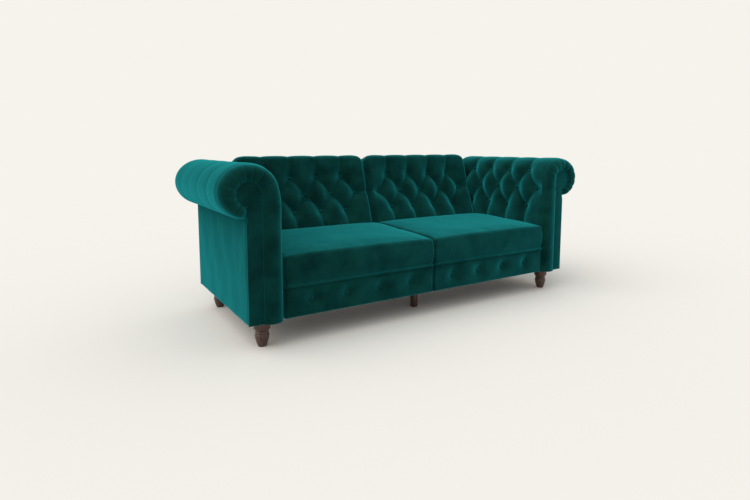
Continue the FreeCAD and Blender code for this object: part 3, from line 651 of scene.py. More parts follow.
@dataclass
class Slab:
    """A padded board: a face with rounded rims and walls that run back to a flat plane."""

    across: Pair
    along: Pair
    thick: float
    rim_across: Pair
    rim_along: Pair
    step: float
    rim_unroll: float = 1.3
    wall_fade: float = 3.0

    def lattice(self) -> tuple[Array, Array, Array, Array]:
        """Lay out the slab.

        Returns:
            Points as across, along and depth; the unrolled coordinates; and the share of the face left at
            each point, which is 0 on the walls.
        """
        first = Stops.along(*self.across, self.rim_across, self.step)
        second = Stops.along(*self.along, self.rim_along, self.step)
        turn_a, turn_b = np.meshgrid(first.turn, second.turn, indexing="ij")
        place_a, place_b = np.meshgrid(first.place, second.place, indexing="ij")
        wall = np.maximum(*np.meshgrid(first.wall, second.wall, indexing="ij"))
        size_a = np.where(turn_a < 0, *self.rim_across)
        size_b = np.where(turn_b < 0, *self.rim_along)
        most = np.maximum(np.abs(turn_a), np.abs(turn_b))
        aim = np.arctan2(np.abs(turn_b), np.abs(turn_a))
        swing = np.sin(most * math.pi / 2)
        out_a = place_a + np.sign(turn_a) * size_a * swing * np.cos(aim)
        out_b = place_b + np.sign(turn_b) * size_b * swing * np.sin(aim)
        depth = (size_a * np.cos(aim) ** 2 + size_b * np.sin(aim) ** 2) * (1 - np.cos(most * math.pi / 2))
        depth = depth + (self.thick - depth) * wall
        flat_a = place_a + turn_a * size_a * self.rim_unroll
        flat_b = place_b + turn_b * size_b * self.rim_unroll
        return np.stack([out_a, out_b, depth], axis=2), flat_a, flat_b, 1.0 - ease(wall * self.wall_fade)


class Maker:
    """Calls shared by the sub-assemblies."""

    finishes: dict[str, Material] = {}

    @staticmethod
    def dress(piece: Piece, finish: str, slot: Slot, body: Body, *nodes: str) -> None:
        """Give a piece its finish and its body, and hide the CAD nodes it stands for.

        Args:
            piece: The finished object.
            finish: Name of the finish.
            slot: Material slot of the record; not used.
            body: Body that carries the piece.
            nodes: CAD nodes that the piece replaces.
        """
        piece.data.materials.clear()
        piece.data.materials.append(Maker.finishes[finish])
        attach(piece, body.value)
        if nodes:
            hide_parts(*nodes)
        LOG.info("%s has %d faces", piece.name, len(piece.data.polygons))

    @staticmethod
    def strap_grid(middle: float, width: float, ends: Pair, give: float) -> tuple[Array, ...]:
        """Lay out one strap.

        Args:
            middle: Place of the strap's middle line.
            width: Width of the strap.
            ends: Places of its two ends.
            give: Sag at half its length.

        Returns:
            The places across and along, and the sag.
        """
        across, along = np.meshgrid(middle + width * np.linspace(-0.5, 0.5, STRAP_GRID[0]),
                                    np.linspace(*ends, STRAP_GRID[1]), indexing="ij")
        return across, along, give * np.sin(math.pi * (along - ends[0]) / (ends[1] - ends[0]))

    @staticmethod
    def straps(name: str, lattices: list[Array], thick: float) -> Piece:
        """Join flat straps into one piece and give them their thickness.

        Args:
            name: Name of the new piece.
            lattices: Points of each strap, all of one shape.
            thick: Thickness of the webbing.

        Returns:
            The new piece.
        """
        quads = faces_of(lattices[0].shape[:2])
        offsets = np.arange(len(lattices)) * (STRAP_GRID[0] * STRAP_GRID[1])
        faces = np.concatenate([quads + start for start in offsets])
        piece = new_piece(name, np.stack(lattices), faces.tolist())
        apply_modifier(piece, "SOLIDIFY", thickness=thick, offset=0.0)
        close_and_smooth(piece, cap=False, crease=40)
        return piece

    @staticmethod
    def mirrored(points: Array, side: Side) -> Array:
        """Return points drawn for the right half, moved to a side."""
        return points * np.array([side.value, 1.0, 1.0])


@dataclass
class Button(Maker):
    """A covered button: a domed cap over a crimped rim, drawn at the origin with its top towards +Z."""

    radius: float = 0.009
    height: float = 0.006
    turns: int = 20
    dome: tuple[Pair, ...] = ((0.14, 0.26), (0.30, 0.16), (0.34, 0.07))

    def shape(self) -> tuple[Array, list[list[int]]]:
        """Model one button from a cylinder.

        Returns:
            Its points and the point numbers of each face.
        """
        bpy.ops.mesh.primitive_cylinder_add(vertices=self.turns, radius=self.radius, depth=self.height / 2,
                                            location=(0, 0, self.height / 4))
        piece = settled("button")
        with edit_mode(piece):
            bpy.ops.mesh.select_mode(type="FACE")
            bpy.ops.mesh.select_all(action="DESELECT")
        for face in piece.data.polygons:
            face.select = face.normal.z > 0.9
        bpy.ops.object.mode_set(mode="EDIT")
        for share, rise in self.dome:
            bpy.ops.mesh.inset(thickness=self.radius * share)
            bpy.ops.transform.translate(value=(0, 0, self.height * rise))
        bpy.ops.object.mode_set(mode="OBJECT")
        points = np.array([vertex.co for vertex in piece.data.vertices])
        faces = [list(face.vertices) for face in piece.data.polygons]
        bpy.data.objects.remove(piece)
        return points, faces

    def row(self, name: str, seats: list[tuple[Vector, Vector]]) -> Piece:
        """Copy the button to each seat.

        Args:
            name: Name of the new piece.
            seats: Foot and outward direction of each button.

        Returns:
            One object that holds every copy as a mesh of its own.
        """
        points, faces = self.shape()
        every_point = []
        every_face = []
        for number, (foot, outward) in enumerate(seats):
            turn = np.array(outward.to_track_quat("Z", "Y").to_matrix())
            every_point.append(points @ turn.T + np.array(foot))
            every_face += [[corner + number * len(points) for corner in face] for face in faces]
        piece = new_piece(name, np.stack(every_point), every_face)
        shade(piece)
        return piece


@dataclass
class BackHalf(Maker):
    """One reclining back half: tufted cushion, rear shell, straps and buttons."""

    side: Side
    # Place and outline of the half
    seat_top: float = 0.409
    face_y: float = 0.16635
    lean: float = math.radians(18)
    low: float = -0.120
    high: float = 0.405
    top_rise: float = 0.007
    corner: float = 0.044
    top_sag: float = 0.008
    sag_width: float = 0.080
    # Cushion and shell
    cushion_thick: float = 0.080
    cushion_rims: tuple[Pair, Pair] = ((0.030, 0.030), (0.020, 0.032))
    cushion_corner: float = 0.031
    cushion_step: float = 0.0033
    fullness: float = 0.006
    shell_thick: float = 0.060
    shell_rims: tuple[Pair, Pair] = ((0.024, 0.024), (0.010, 0.028))
    shell_corner: float = 0.026
    shell_step: float = 0.012
    shell_drop: float = 0.003
    shell_fullness: float = 0.004
    # Tufts and folds
    low_row: float = 0.088
    row_step: float = 0.098
    columns: int = 10
    tuft_depth: float = 0.041
    near_pleat: float = 0.05
    over_top: float = 0.04
    button_pull: float = 0.75
    faint_pull: float = 0.22
    top_pull: float = 0.09
    foot_pull: float = 0.15
    side_pulls: Pair = (0.65, 0.08)
    button_seat: float = 0.034
    # Notches for the hinges
    notch_width: float = 0.0285
    notch_top: float = -0.0385
    notch_over: float = 0.01
    notch_below: float = 0.02
    notch_depth: Pair = (-0.03, 0.17)
    # Straps
    strap_count: int = 5
    strap_width: float = 0.060
    strap_thick: float = 0.002
    strap_shift: float = 0.008
    strap_give: float = 0.003

    def __post_init__(self) -> None:
        """Read the half's width from its CAD pad."""
        self.inner, self.outer = reach_x(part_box(f"back_pad_{self.side.tag}"))
        self.body = Body.LEFT_BACK if self.side is Side.LEFT else Body.RIGHT_BACK

    def stand(self, local: Array) -> Array:
        """Lean points drawn upright as across, up and depth into their resting place.

        Args:
            local: Points of a right half.

        Returns:
            Points in the frame, moved to this half's side.
        """
        across, up, depth = local[..., 0], local[..., 1], local[..., 2]
        y = self.face_y + up * math.sin(self.lean) + depth * math.cos(self.lean)
        z = self.seat_top + up * math.cos(self.lean) - depth * math.sin(self.lean)
        return self.mirrored(np.stack([across, y, z], axis=-1), self.side)

    def round_top(self, local: Array, top: float, rim: float) -> Array:
        """Draw the upper corners in to a larger round and let the ends of the top edge sag.

        Args:
            local: Points as across, up and depth.
            top: Upper edge of the points.
            rim: Corner radius that the points have already.

        Returns:
            The points with rounder corners.
        """
        middle, half = (self.inner + self.outer) / 2, (self.outer - self.inner) / 2
        aside = np.abs(local[..., 0] - middle) - (half - self.corner)
        above = local[..., 1] - (top - self.corner)
        inside = (aside > 0) & (above > 0)
        far = np.where(inside, np.hypot(aside, above), 1.0)
        flat, steep = np.where(inside, aside / far, 1.0), np.where(inside, above / far, 0.0)
        inset = self.corner - rim
        reach = self.corner / np.maximum(flat, steep)
        under_root = (inset * (flat + steep)) ** 2 - 2 * inset ** 2 + rim ** 2
        arc = inset * (flat + steep) + np.sqrt(np.maximum(under_root, 0.0))
        curved = np.minimum(flat, steep) * self.corner > np.maximum(flat, steep) * inset
        share = self.corner / np.where(curved, arc, reach)
        rounded = local.copy()
        drawn = middle + np.sign(local[..., 0] - middle) * (half - self.corner + aside * share)
        rounded[..., 0] = np.where(inside, drawn, local[..., 0])
        rounded[..., 1] = np.where(inside, top - self.corner + above * share, local[..., 1])
        near_end = ease((np.abs(local[..., 0] - middle) - half + self.sag_width) / self.sag_width)
        near_top = ease((local[..., 1] - top + self.sag_width) / self.sag_width)
        rounded[..., 1] -= self.top_sag * near_end * near_top
        return rounded

    def column(self, index: int) -> float:
        """Return the across place of a tuft column."""
        return self.inner + (self.outer - self.inner) * index / self.columns

    def tufting(self) -> Tufting:
        """Lay out the tufts of the face.

        Returns:
            The buttons and folds, as across and up.
        """
        rows = [self.low_row + self.row_step * step for step in range(3)]
        turn = rows[2] + self.near_pleat
        buttons = []
        pleats = []
        for index in range(1, self.columns):
            x = self.column(index)
            if index % 2 == 0:
                buttons += [(x, rows[0]), (x, rows[2])]
                pleats.append(Pleat((x, rows[2]), (x, turn), self.button_pull, self.faint_pull))
                over = (x, self.high + self.over_top)
                pleats.append(Pleat((x, turn), over, self.faint_pull, self.top_pull))
                pleats.append(Pleat((x, rows[0]), (x, self.low), self.button_pull, self.foot_pull))
                continue
            buttons.append((x, rows[1]))
            for beside in (index - 1, index + 1):
                tip = self.column(beside)
                if 0 < beside < self.columns:
                    pleats += [Pleat((x, rows[1]), (tip, row)) for row in (rows[0], rows[2])]
                else:
                    pleats.append(Pleat((x, rows[1]), (tip, rows[1]), *self.side_pulls))
        return Tufting(buttons, pleats, self.tuft_depth)

    def notches(self, piece: Piece) -> None:
        """Cut the lower corners clear of the hinges.

        Args:
            piece: Cover to cut.
        """
        for edge, sign in ((self.inner, 1), (self.outer, -1)):
            ends = sorted((edge - sign * self.notch_over, edge + sign * self.notch_width))
            spots = [(x, up, depth) for x in ends for up in (self.low - self.notch_below, self.notch_top)
                     for depth in self.notch_depth]
            tool = new_piece("notch_tool", self.stand(np.array(spots)), BOX_FACES)
            close_and_smooth(tool, cap=False)
            apply_modifier(piece, "BOOLEAN", operation="DIFFERENCE", object=tool, solver="EXACT")
            bpy.data.objects.remove(tool)

    def cushion(self) -> None:
        """Build the tufted front cushion."""
        top = self.high + self.top_rise
        slab = Slab((self.inner, self.outer), (self.low, top), self.cushion_thick, *self.cushion_rims,
                    self.cushion_step)
        local, across, up, face = slab.lattice()
        local = self.round_top(local, top, self.cushion_corner)
        inward = normals_of(local)
        inward *= np.sign(inward[local.shape[0] // 2, local.shape[1] // 2, 2])
        depth = (self.tufting().sink(across, up) - self.fullness * inward[..., 2] ** 2) * face
        piece = lattice_piece(f"{self.side.tag}_back_cushion", self.stand(local + inward * depth[..., None]))
        close_and_smooth(piece)
        self.notches(piece)
        self.dress(piece, "velvet", Slot.VELVET, self.body, f"back_pad_{self.side.tag}")

    def shell(self) -> None:
        """Build the padded rear cover."""
        top = self.high + self.top_rise - self.shell_drop
        slab = Slab((self.inner, self.outer), (self.low, top), self.shell_thick, *self.shell_rims,
                    self.shell_step)
        local, across, up, face = slab.lattice()
        local = self.round_top(local, top, self.shell_corner)
        swell = arch(across, self.inner, self.outer) * arch(up, self.low, self.high)
        local[..., 2] -= self.shell_fullness * face * np.clip(swell, 0, 1) ** 0.5
        local[..., 2] = self.cushion_thick + self.shell_thick - local[..., 2]
        piece = lattice_piece(f"{self.side.tag}_back_shell", self.stand(local))
        close_and_smooth(piece)
        self.notches(piece)
        self.dress(piece, "velvet", Slot.VELVET, self.body, f"back_rear_panel_{self.side.tag}")

    def webbing(self) -> None:
        """Build the straps stretched up the frame behind the cushion."""
        low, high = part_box(f"back_webbing_{self.side.tag}")
        inner, outer = reach_x((low, high))
        first, last = inner + self.strap_width / 2, outer - self.strap_width / 2
        middles = np.linspace(first - self.strap_shift, last + self.strap_shift, self.strap_count)
        lean_in = self.cushion_thick * math.sin(self.lean)
        foot = (low.z - self.seat_top + lean_in) / math.cos(self.lean) + self.strap_thick
        head = (high.z - self.seat_top + lean_in) / math.cos(self.lean)
        lattices = []
        for middle in np.clip(middles, first, last):
            across, up, give = self.strap_grid(middle, self.strap_width, (foot, head), self.strap_give)
            depth = self.cushion_thick + self.strap_thick / 2 + give
            lattices.append(self.stand(np.stack([across, up, depth], axis=-1)))
        piece = self.straps(f"{self.side.tag}_back_straps", lattices, self.strap_thick)
        self.dress(piece, "strap", Slot.WEBBING, self.body, f"back_webbing_{self.side.tag}")

    def buttons(self) -> None:
        """Seat a covered button in every tuft."""
        outward = Vector((0, -math.cos(self.lean), math.sin(self.lean)))
        spots = np.array([(x, up, self.button_seat) for x, up in self.tufting().buttons])
        seats = [(Vector(spot), outward) for spot in self.stand(spots)]
        piece = Button().row(f"{self.side.tag}_back_button_set", seats)
        self.dress(piece, "velvet", Slot.VELVET, self.body, f"back_buttons_{self.side.tag}")

    def build(self) -> None:
        """Build and dress the half."""
        self.cushion()
        self.shell()
        self.webbing()
        self.buttons()


@dataclass
class Arm(Maker):
    """One rolled arm: tufted cover with a pleated front, keyhole panel and piping, outer and rear panels."""

    side: Side
    # Outline of the cover
    roll_half_width: float = 0.127
    roll_half_height: float = 0.112
    step: float = 0.0048
    cloth: float = 0.003
    back_clear: float = 0.0035
    bend_drop: float = 0.075
    bend_pull: float = 0.45
    join_angle: float = math.radians(166)
    end_angle: float = math.radians(-70)
    tail_inset: Pair = (0.012, 0.003)
    outline_steps: tuple[int, int, int, int] = (60, 38, 160, 9)
    # Tufts and folds
    low_row: float = 0.493
    mid_row: float = 0.605
    top_angle: float = math.radians(152)
    columns: int = 9
    pitches: int = 5
    pitch_over: float = 0.009
    first_column: float = 0.55
    fullness: float = 0.003
    foot_run: float = 0.2
    foot_pulls: Pair = (0.8, 0.3)
    roll_run: float = 0.12
    roll_pull: float = 0.7
    roll_fade: float = 0.03
    fold_drift: float = 0.007
    faint_pull: Pair = (0.05, 0.025)
    side_pulls: Pair = (0.9, 0.25)
    button_seat: float = 0.032
    look_ahead: float = 0.01
    # Rear and front ends of the cover
    rear_tuck: float = 0.006
    rear_round: float = 0.010
    rear_draw: float = 0.10
    rear_fade: float = 0.03
    rear_steps: int = 7
    front_round: float = 0.024
    front_steps: int = 33
    front_power: float = 0.8
    front_lead: float = 0.012
    front_fade: float = 0.05
    edge_lift: float = 0.002
    tail_proud: float = 0.2
    tail_fade: float = 0.05
    # Gathers and seam of the front
    gather_count: float = 7.0
    gather_waves: tuple[Triple, Triple] = ((0.05, 3.1, 0.7), (0.03, 7.3, 0.0))
    gather_depth: float = 0.0048
    gather_start: Pair = (0.10, 0.35)
    gather_end: float = 0.22
    gather_drop: float = 0.02
    gather_fade: float = 0.05
    seam_z: float = 0.600
    seam_width: float = 0.005
    seam_depth: float = 0.0034
    seam_start: float = 0.2
    # Keyhole panel and its piping
    keyhole_radius: float = 0.0555
    keyhole_drop: float = 0.010
    keyhole_gap: float = 0.0015
    keyhole_round: float = 0.006
    keyhole_rings: int = 7
    keyhole_flat: float = 0.9
    keyhole_rim: float = 0.001
    keyhole_swell: float = 0.0016
    keyhole_inset: float = 0.004
    neck_inset: float = 0.004
    tuck: float = 0.004
    edge_steps: int = 40
    ring_steps: int = 60
    base_steps: int = 6
    piping_radius: float = 0.0040
    piping_lift: float = 0.0016
    piping_turns: int = 12
    # Outer and rear panels
    panel_thick: float = 0.012
    panel_rims: tuple[Pair, Pair] = ((0.005, 0.005), (0.005, 0.003))
    panel_step: float = 0.012
    panel_fullness: float = 0.0030
    panel_power: float = 0.4
    panel_ripple: float = 0.0007
    ripple_rate: float = 31.0
    ripple_bend: Pair = (2.0, 9.0)
    rear_inset: float = 0.008
    rear_edge: float = 0.004
    rear_skip: int = 3

    def __post_init__(self) -> None:
        """Read the arm's outline from its CAD nodes, as a right-hand arm."""
        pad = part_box(f"arm_pad_{self.side.tag}")
        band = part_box(f"arm_front_band_{self.side.tag}")
        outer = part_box(f"arm_outer_panel_{self.side.tag}")
        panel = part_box(f"arm_front_panel_{self.side.tag}")
        self.inner_x, self.tip_x = reach_x(pad)
        self.outer_x = reach_x(outer)[1]
        self.split_x = reach_x(panel)[0]
        self.low_z = band[0].z
        self.top_z = pad[1].z
        self.under_z = outer[1].z
        self.front_y = band[0].y
        self.panel_y = panel[0].y
        self.board_y = pad[0].y
        self.rear_y = pad[1].y
        self.roll_x = self.tip_x - self.roll_half_width
        self.roll_z = self.top_z - self.roll_half_height
        self.keyhole_x = self.split_x + self.keyhole_radius
        self.keyhole_z = self.roll_z - self.keyhole_drop
        self.pitch = (self.rear_y - self.board_y + self.pitch_over) / self.pitches

    def column(self, index: int) -> float:
        """Return the depth place of a tuft column."""
        return self.panel_y + self.pitch * (self.first_column + 0.5 * index)

    def roll(self, angle: Array) -> Array:
        """Return points on the roll's outline, turned from +X."""
        return np.stack([self.roll_x + self.roll_half_width * np.cos(angle),
                         self.roll_z + self.roll_half_height * np.sin(angle)], axis=-1)

    def outline(self) -> Array:
        """Draw the cover's outline from the inside foot over the roll to its underside.

        Returns:
            X and Z of evenly spaced points.
        """
        wall_steps, bend_steps, roll_steps, tail_steps = self.outline_steps
        start_z = self.mid_row - self.bend_drop
        wall = np.stack([np.full(wall_steps, self.inner_x + self.back_clear),
                         np.linspace(self.low_z, start_z, wall_steps)], axis=1)
        join = self.roll(np.array(self.join_angle))
        share = np.linspace(0, 1, bend_steps + 2)[1:-1, None]
        rest = 1 - share
        lift = (join[1] - start_z) * self.bend_pull
        aim = np.array([self.roll_half_width * math.sin(self.join_angle),
                        -self.roll_half_height * math.cos(self.join_angle)])
        aim = aim / np.linalg.norm(aim)
        knots = (wall[-1], wall[-1] + (0, lift), join - aim * lift, join)
        weights = (rest ** 3, 3 * share * rest ** 2, 3 * share ** 2 * rest, share ** 3)
        bend = sum(weight * knot for weight, knot in zip(weights, knots))
        roll = self.roll(np.linspace(self.join_angle, self.end_angle, roll_steps))
        end = (self.outer_x - self.tail_inset[0], self.under_z + self.tail_inset[1])
        path = np.concatenate([wall, bend, roll, np.linspace(roll[-1], end, tail_steps + 1)[1:]])
        run = run_along(path)
        even = np.linspace(0, run[-1], int(run[-1] / self.step) + 1)
        return np.stack([np.interp(even, run, path[:, 0]), np.interp(even, run, path[:, 1])], axis=1)

    def rows_along(self, outline: Array) -> tuple[float, float, float, float]:
        """Find the tuft rows along the outline.

        Args:
            outline: Points of the cover's outline.

        Returns:
            The run to the low, middle and top rows and to the outline's end.
        """
        run = run_along(outline)
        top = self.roll(np.array(self.top_angle))
        beyond = 9 * (outline[:, 0] >= self.roll_x)
        low = run[np.argmin(np.abs(outline[:, 1] - self.low_row) + beyond)]
        mid = run[np.argmin(np.abs(outline[:, 1] - self.mid_row) + beyond)]
        high = run[np.argmin(np.linalg.norm(outline - top, axis=1))]
        return float(low), float(mid), float(high), float(run[-1])

    def tufting(self, outline: Array) -> Tufting:
        """Lay out the tufts of the cover.

        Args:
            outline: Points of the cover's outline.

        Returns:
            The buttons and folds, unrolled as depth and run along the outline.
        """
        low, mid, high, end = self.rows_along(outline)
        over = high + self.roll_run
        buttons = []
        pleats = []
        for index in range(self.columns):
            y = self.column(index)
            if index % 2 == 1:
                drift = self.fold_drift * math.sin(1.7 * index + 0.6)
                pull = self.faint_pull[0] + self.faint_pull[1] * math.sin(2.3 * index)
                buttons += [(y, low), (y, high)]
                pleats.append(Pleat((y, low), (y, low - self.foot_run), *self.foot_pulls))
                pleats.append(Pleat((y, high), (y + drift, over), self.roll_pull, pull + self.roll_fade))
                pleats.append(Pleat((y + drift, over), (y - drift, end), pull + self.roll_fade, pull))
                continue
            buttons.append((y, mid))
            for beside, edge in ((index - 1, self.board_y), (index + 1, self.rear_y)):
                if 0 <= beside < self.columns:
                    pleats += [Pleat((y, mid), (self.column(beside), row)) for row in (low, high)]
                else:
                    pleats.append(Pleat((y, mid), (edge, mid), *self.side_pulls))
        return Tufting(buttons, pleats)

    def ring(self, radius: float, angle: Array) -> Array:
        """Return points on a circle about the keyhole's centre, turned from +X."""
        return np.stack([self.keyhole_x + radius * np.cos(angle),
                         self.keyhole_z + radius * np.sin(angle)], axis=1)

    def keyhole_aim(self, outline: Array) -> Array:
        """Return the direction of each outline point seen from the keyhole's centre."""
        return np.arctan2(outline[:, 1] - self.keyhole_z, outline[:, 0] - self.keyhole_x)

    def keyhole_edge(self, outline: Array) -> Array:
        """Match the cover to the keyhole panel's edge.

        Args:
            outline: Points of the cover's outline.

        Returns:
            The point of the edge that each outline point is gathered to.
        """
        ring = self.ring(self.keyhole_radius - self.tuck, self.keyhole_aim(outline))
        strip = np.stack([np.full(len(outline), self.split_x + self.tuck), outline[:, 1]], axis=1)
        below = (outline[:, 1] <= self.keyhole_z) & (outline[:, 0] < self.keyhole_x)
        return np.where(below[:, None], strip, ring)

    def gathers(self, outline: Array) -> Array:
        """Lay out the radial folds round the keyhole.

        Args:
            outline: Points of the cover's outline.

        Returns:
            The share of a fold's depth at each outline point.
        """
        aim = self.keyhole_aim(outline)
        wavy = aim + sum(size * np.sin(rate * aim + start) for size, rate, start in self.gather_waves)
        fold = 1.0 - np.abs(np.sin(wavy * self.gather_count))
        round_roll = ease((outline[:, 1] - self.keyhole_z + self.gather_drop) / self.gather_fade)
        return fold ** 3 * np.where(outline[:, 0] > self.keyhole_x, 1.0, round_roll)

    def cover(self) -> None:
        """Build the cover that runs up the inside, over the roll and round the front to the keyhole."""
        outline = self.outline()
        edge = self.keyhole_edge(outline)
        start_y, end_y = self.board_y + self.front_round, self.rear_y - self.rear_tuck
        depths = np.linspace(end_y, start_y, int((self.rear_y - start_y) / self.step))
        tail = np.linspace(0, 1, self.rear_steps + 1)[:0:-1]
        turn = np.linspace(0, 1, self.front_steps + 1)[1:]
        centre = np.array([self.roll_x, self.roll_z])
        rows = []
        for share in tail:
            drawn = outline + (centre - outline) * self.rear_draw * (1 - math.cos(share * math.pi / 2))
            rows.append((drawn, end_y + self.rear_round * math.sin(share * math.pi / 2)))
        rows += [(outline, y) for y in depths]
        end_run = self.rows_along(outline)[3]
        run = np.linspace(0, 1, len(outline)) * end_run
        proud = self.tail_proud + (1 - self.tail_proud) * ease((end_run - run) / self.tail_fade)
        crest_y = self.board_y - (self.board_y - self.front_y) * proud
        for share in turn:
            drawn = outline + (edge - outline) * (1 - math.cos(share * math.pi)) / 2
            base_y = start_y if share < 0.5 else self.board_y - self.edge_lift
            rows.append((drawn, base_y + (crest_y - base_y) * math.sin(share * math.pi) ** self.front_power))
        lattice = sections(rows)
        inward = normals_of(lattice)
        inside_wall = (len(tail) + 20, 20, 0)
        inward *= np.sign(inward[inside_wall])
        across = np.concatenate([np.full(len(tail), self.rear_y), depths,
                                 np.full(len(turn), self.board_y - self.front_lead)])
        grid_y, grid_run = np.meshgrid(across, run, indexing="ij")
        front = ease((grid_y - self.board_y + self.front_lead) / self.front_fade)
        rear = ease((self.rear_y - grid_y) / self.rear_fade)
        depth = (self.tufting(outline).sink(grid_y, grid_run) - self.fullness) * front * rear
        shares = np.concatenate([np.zeros(len(tail) + len(depths)), turn])[:, None]
        begun, grown = self.gather_start
        gathered = ease((shares - begun) / grown) * ease((1.0 - shares) / self.gather_end)
        depth += self.gather_depth * gathered * (self.gathers(outline) * proud ** 2)[None, :]
        sewn = np.exp(-((outline[:, 1] - self.seam_z) / self.seam_width) ** 2) * (outline[:, 0] < self.roll_x)
        depth += self.seam_depth * ease((shares - self.seam_start) / self.seam_start) * sewn[None, :]
        points = self.mirrored(lattice + inward * depth[..., None], self.side)
        piece = lattice_piece(f"{self.side.tag}_arm_cover", points, flip=self.side is Side.LEFT)
        apply_modifier(piece, "SOLIDIFY", thickness=self.cloth, offset=-1.0)
        shade(piece)
        self.dress(piece, "velvet", Slot.VELVET, Body.BASE, f"arm_pad_{self.side.tag}",
                   f"arm_front_band_{self.side.tag}")

    def keyhole_outline(self) -> Array:
        """Draw the keyhole panel's outline from the inner foot over the ring to the outer foot.

        Returns:
            X and Z of each point of the loop.
        """
        radius = self.keyhole_radius - self.keyhole_gap
        neck_x = self.outer_x - self.neck_inset
        stop = -math.acos((neck_x - self.keyhole_x) / radius)
        arc = self.ring(radius, np.linspace(math.pi, stop, self.ring_steps))
        left = np.stack([np.full(self.edge_steps, self.split_x + self.keyhole_gap),
                         np.linspace(self.low_z, self.keyhole_z, self.edge_steps)], axis=1)
        right_z = np.linspace(arc[-1, 1], self.low_z, self.edge_steps)[1:]
        right_x = np.where(right_z > self.under_z, neck_x, self.outer_x)
        base = np.linspace((self.outer_x, self.low_z), left[0], self.base_steps + 2)[1:-1]
        return np.concatenate([left[:-1], arc, np.stack([right_x, right_z], axis=1), base])

    def keyhole_panel(self) -> None:
        """Build the flat padded front panel with its rolled edge."""
        loop = self.keyhole_outline()
        ahead = np.roll(loop, -1, axis=0) - np.roll(loop, 1, axis=0)
        ahead /= np.maximum(np.linalg.norm(ahead, axis=1, keepdims=True), NEAR_ZERO)
        inside = np.stack([ahead[:, 1], -ahead[:, 0]], axis=1)
        edge = self.keyhole_round
        rings = [(loop, self.board_y)]
        for share in np.linspace(0, 1, self.keyhole_rings):
            turn = share * math.pi / 2
            drawn = loop + inside * edge * (1 - math.cos(turn))
            back = edge * (1 - math.sin(turn)) * self.keyhole_flat
            rings.append((drawn, self.panel_y + back - self.keyhole_rim))
        rings.append((loop + inside * (edge + self.keyhole_inset), self.panel_y - self.keyhole_swell))
        lattice = sections(rings)
        lattice = np.concatenate([lattice, lattice[:, :1]], axis=1)
        piece = lattice_piece(f"{self.side.tag}_arm_keyhole_panel", self.mirrored(lattice, self.side))
        close_and_smooth(piece, holes=True, crease=50)
        self.dress(piece, "velvet", Slot.VELVET, Body.BASE, f"arm_front_panel_{self.side.tag}")

    def piping(self) -> None:
        """Build the thin piping sewn round the keyhole and down the inner seam."""
        path = self.keyhole_outline()[:self.edge_steps - 1 + self.ring_steps]
        ahead = np.gradient(path, axis=0)
        ahead /= np.linalg.norm(ahead, axis=1, keepdims=True)
        aside = np.stack([-ahead[:, 1], ahead[:, 0]], axis=1)
        turn = np.linspace(0, 2 * math.pi, self.piping_turns + 1)
        reach = self.piping_radius * np.cos(turn)
        flat = path[:, None, :] + aside[:, None, :] * reach[None, :, None]
        rise = self.panel_y - self.piping_lift + self.piping_radius * np.sin(turn)
        deep = np.broadcast_to(rise[None, :], flat.shape[:2])
        lattice = np.stack([flat[..., 0], deep, flat[..., 1]], axis=-1)
        piece = lattice_piece(f"{self.side.tag}_arm_piping", self.mirrored(lattice, self.side))
        close_and_smooth(piece, cap=False, holes=True, crease=50)
        self.dress(piece, "velvet", Slot.VELVET, Body.BASE)

    def outer_panel(self) -> None:
        """Build the plain outside panel with a slight fullness."""
        low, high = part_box(f"arm_outer_panel_{self.side.tag}")
        slab = Slab((low.y, high.y), (low.z, high.z), self.panel_thick, *self.panel_rims, self.panel_step)
        local, along, up, face = slab.lattice()
        share = np.clip(arch(along, low.y, high.y), 0, 1)
        rise = np.clip(arch(up, low.z, high.z), 0, 1)
        bend, bend_rate = self.ripple_bend
        ripple = np.sin(along * self.ripple_rate + bend * np.sin(up * bend_rate)) * share
        fullness = self.panel_fullness * (share * rise) ** self.panel_power
        local[..., 2] -= (fullness + self.panel_ripple * ripple) * face
        points = np.stack([self.outer_x - local[..., 2], local[..., 0], local[..., 1]], axis=-1)
        piece = lattice_piece(f"{self.side.tag}_arm_outer_cover", self.mirrored(points, self.side))
        close_and_smooth(piece)
        self.dress(piece, "panel_velvet", Slot.VELVET, Body.BASE, f"arm_outer_panel_{self.side.tag}")

    def rear_panel(self) -> None:
        """Build the rear panel that follows the arm's outline."""
        path = self.outline()[::self.rear_skip]
        reach = np.array([self.roll_x, self.roll_z]) - path
        pull = self.rear_inset / np.maximum(np.linalg.norm(reach, axis=1, keepdims=True), NEAR_ZERO)
        loop = np.where(path[:, 1:] > self.under_z, path + reach * pull, path)
        loop = np.concatenate([loop, [(self.outer_x, self.under_z), (self.outer_x, self.low_z)]])
        low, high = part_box(f"arm_rear_panel_{self.side.tag}")
        points = self.mirrored(np.array([(x, low.y, z) for x, z in loop]), self.side)
        piece = new_piece(f"{self.side.tag}_arm_rear_cover", points, [list(range(len(loop)))])
        with edit_mode(piece):
            bpy.ops.mesh.extrude_region_move(TRANSFORM_OT_translate={"value": (0, high.y - low.y, 0)})
            bpy.ops.mesh.bevel(offset=self.rear_edge, segments=3, affect="EDGES")
            bpy.ops.mesh.select_all(action="SELECT")
            bpy.ops.mesh.normals_make_consistent(inside=False)
        shade(piece, crease=45)
        self.dress(piece, "panel_velvet", Slot.VELVET, Body.BASE, f"arm_rear_panel_{self.side.tag}")

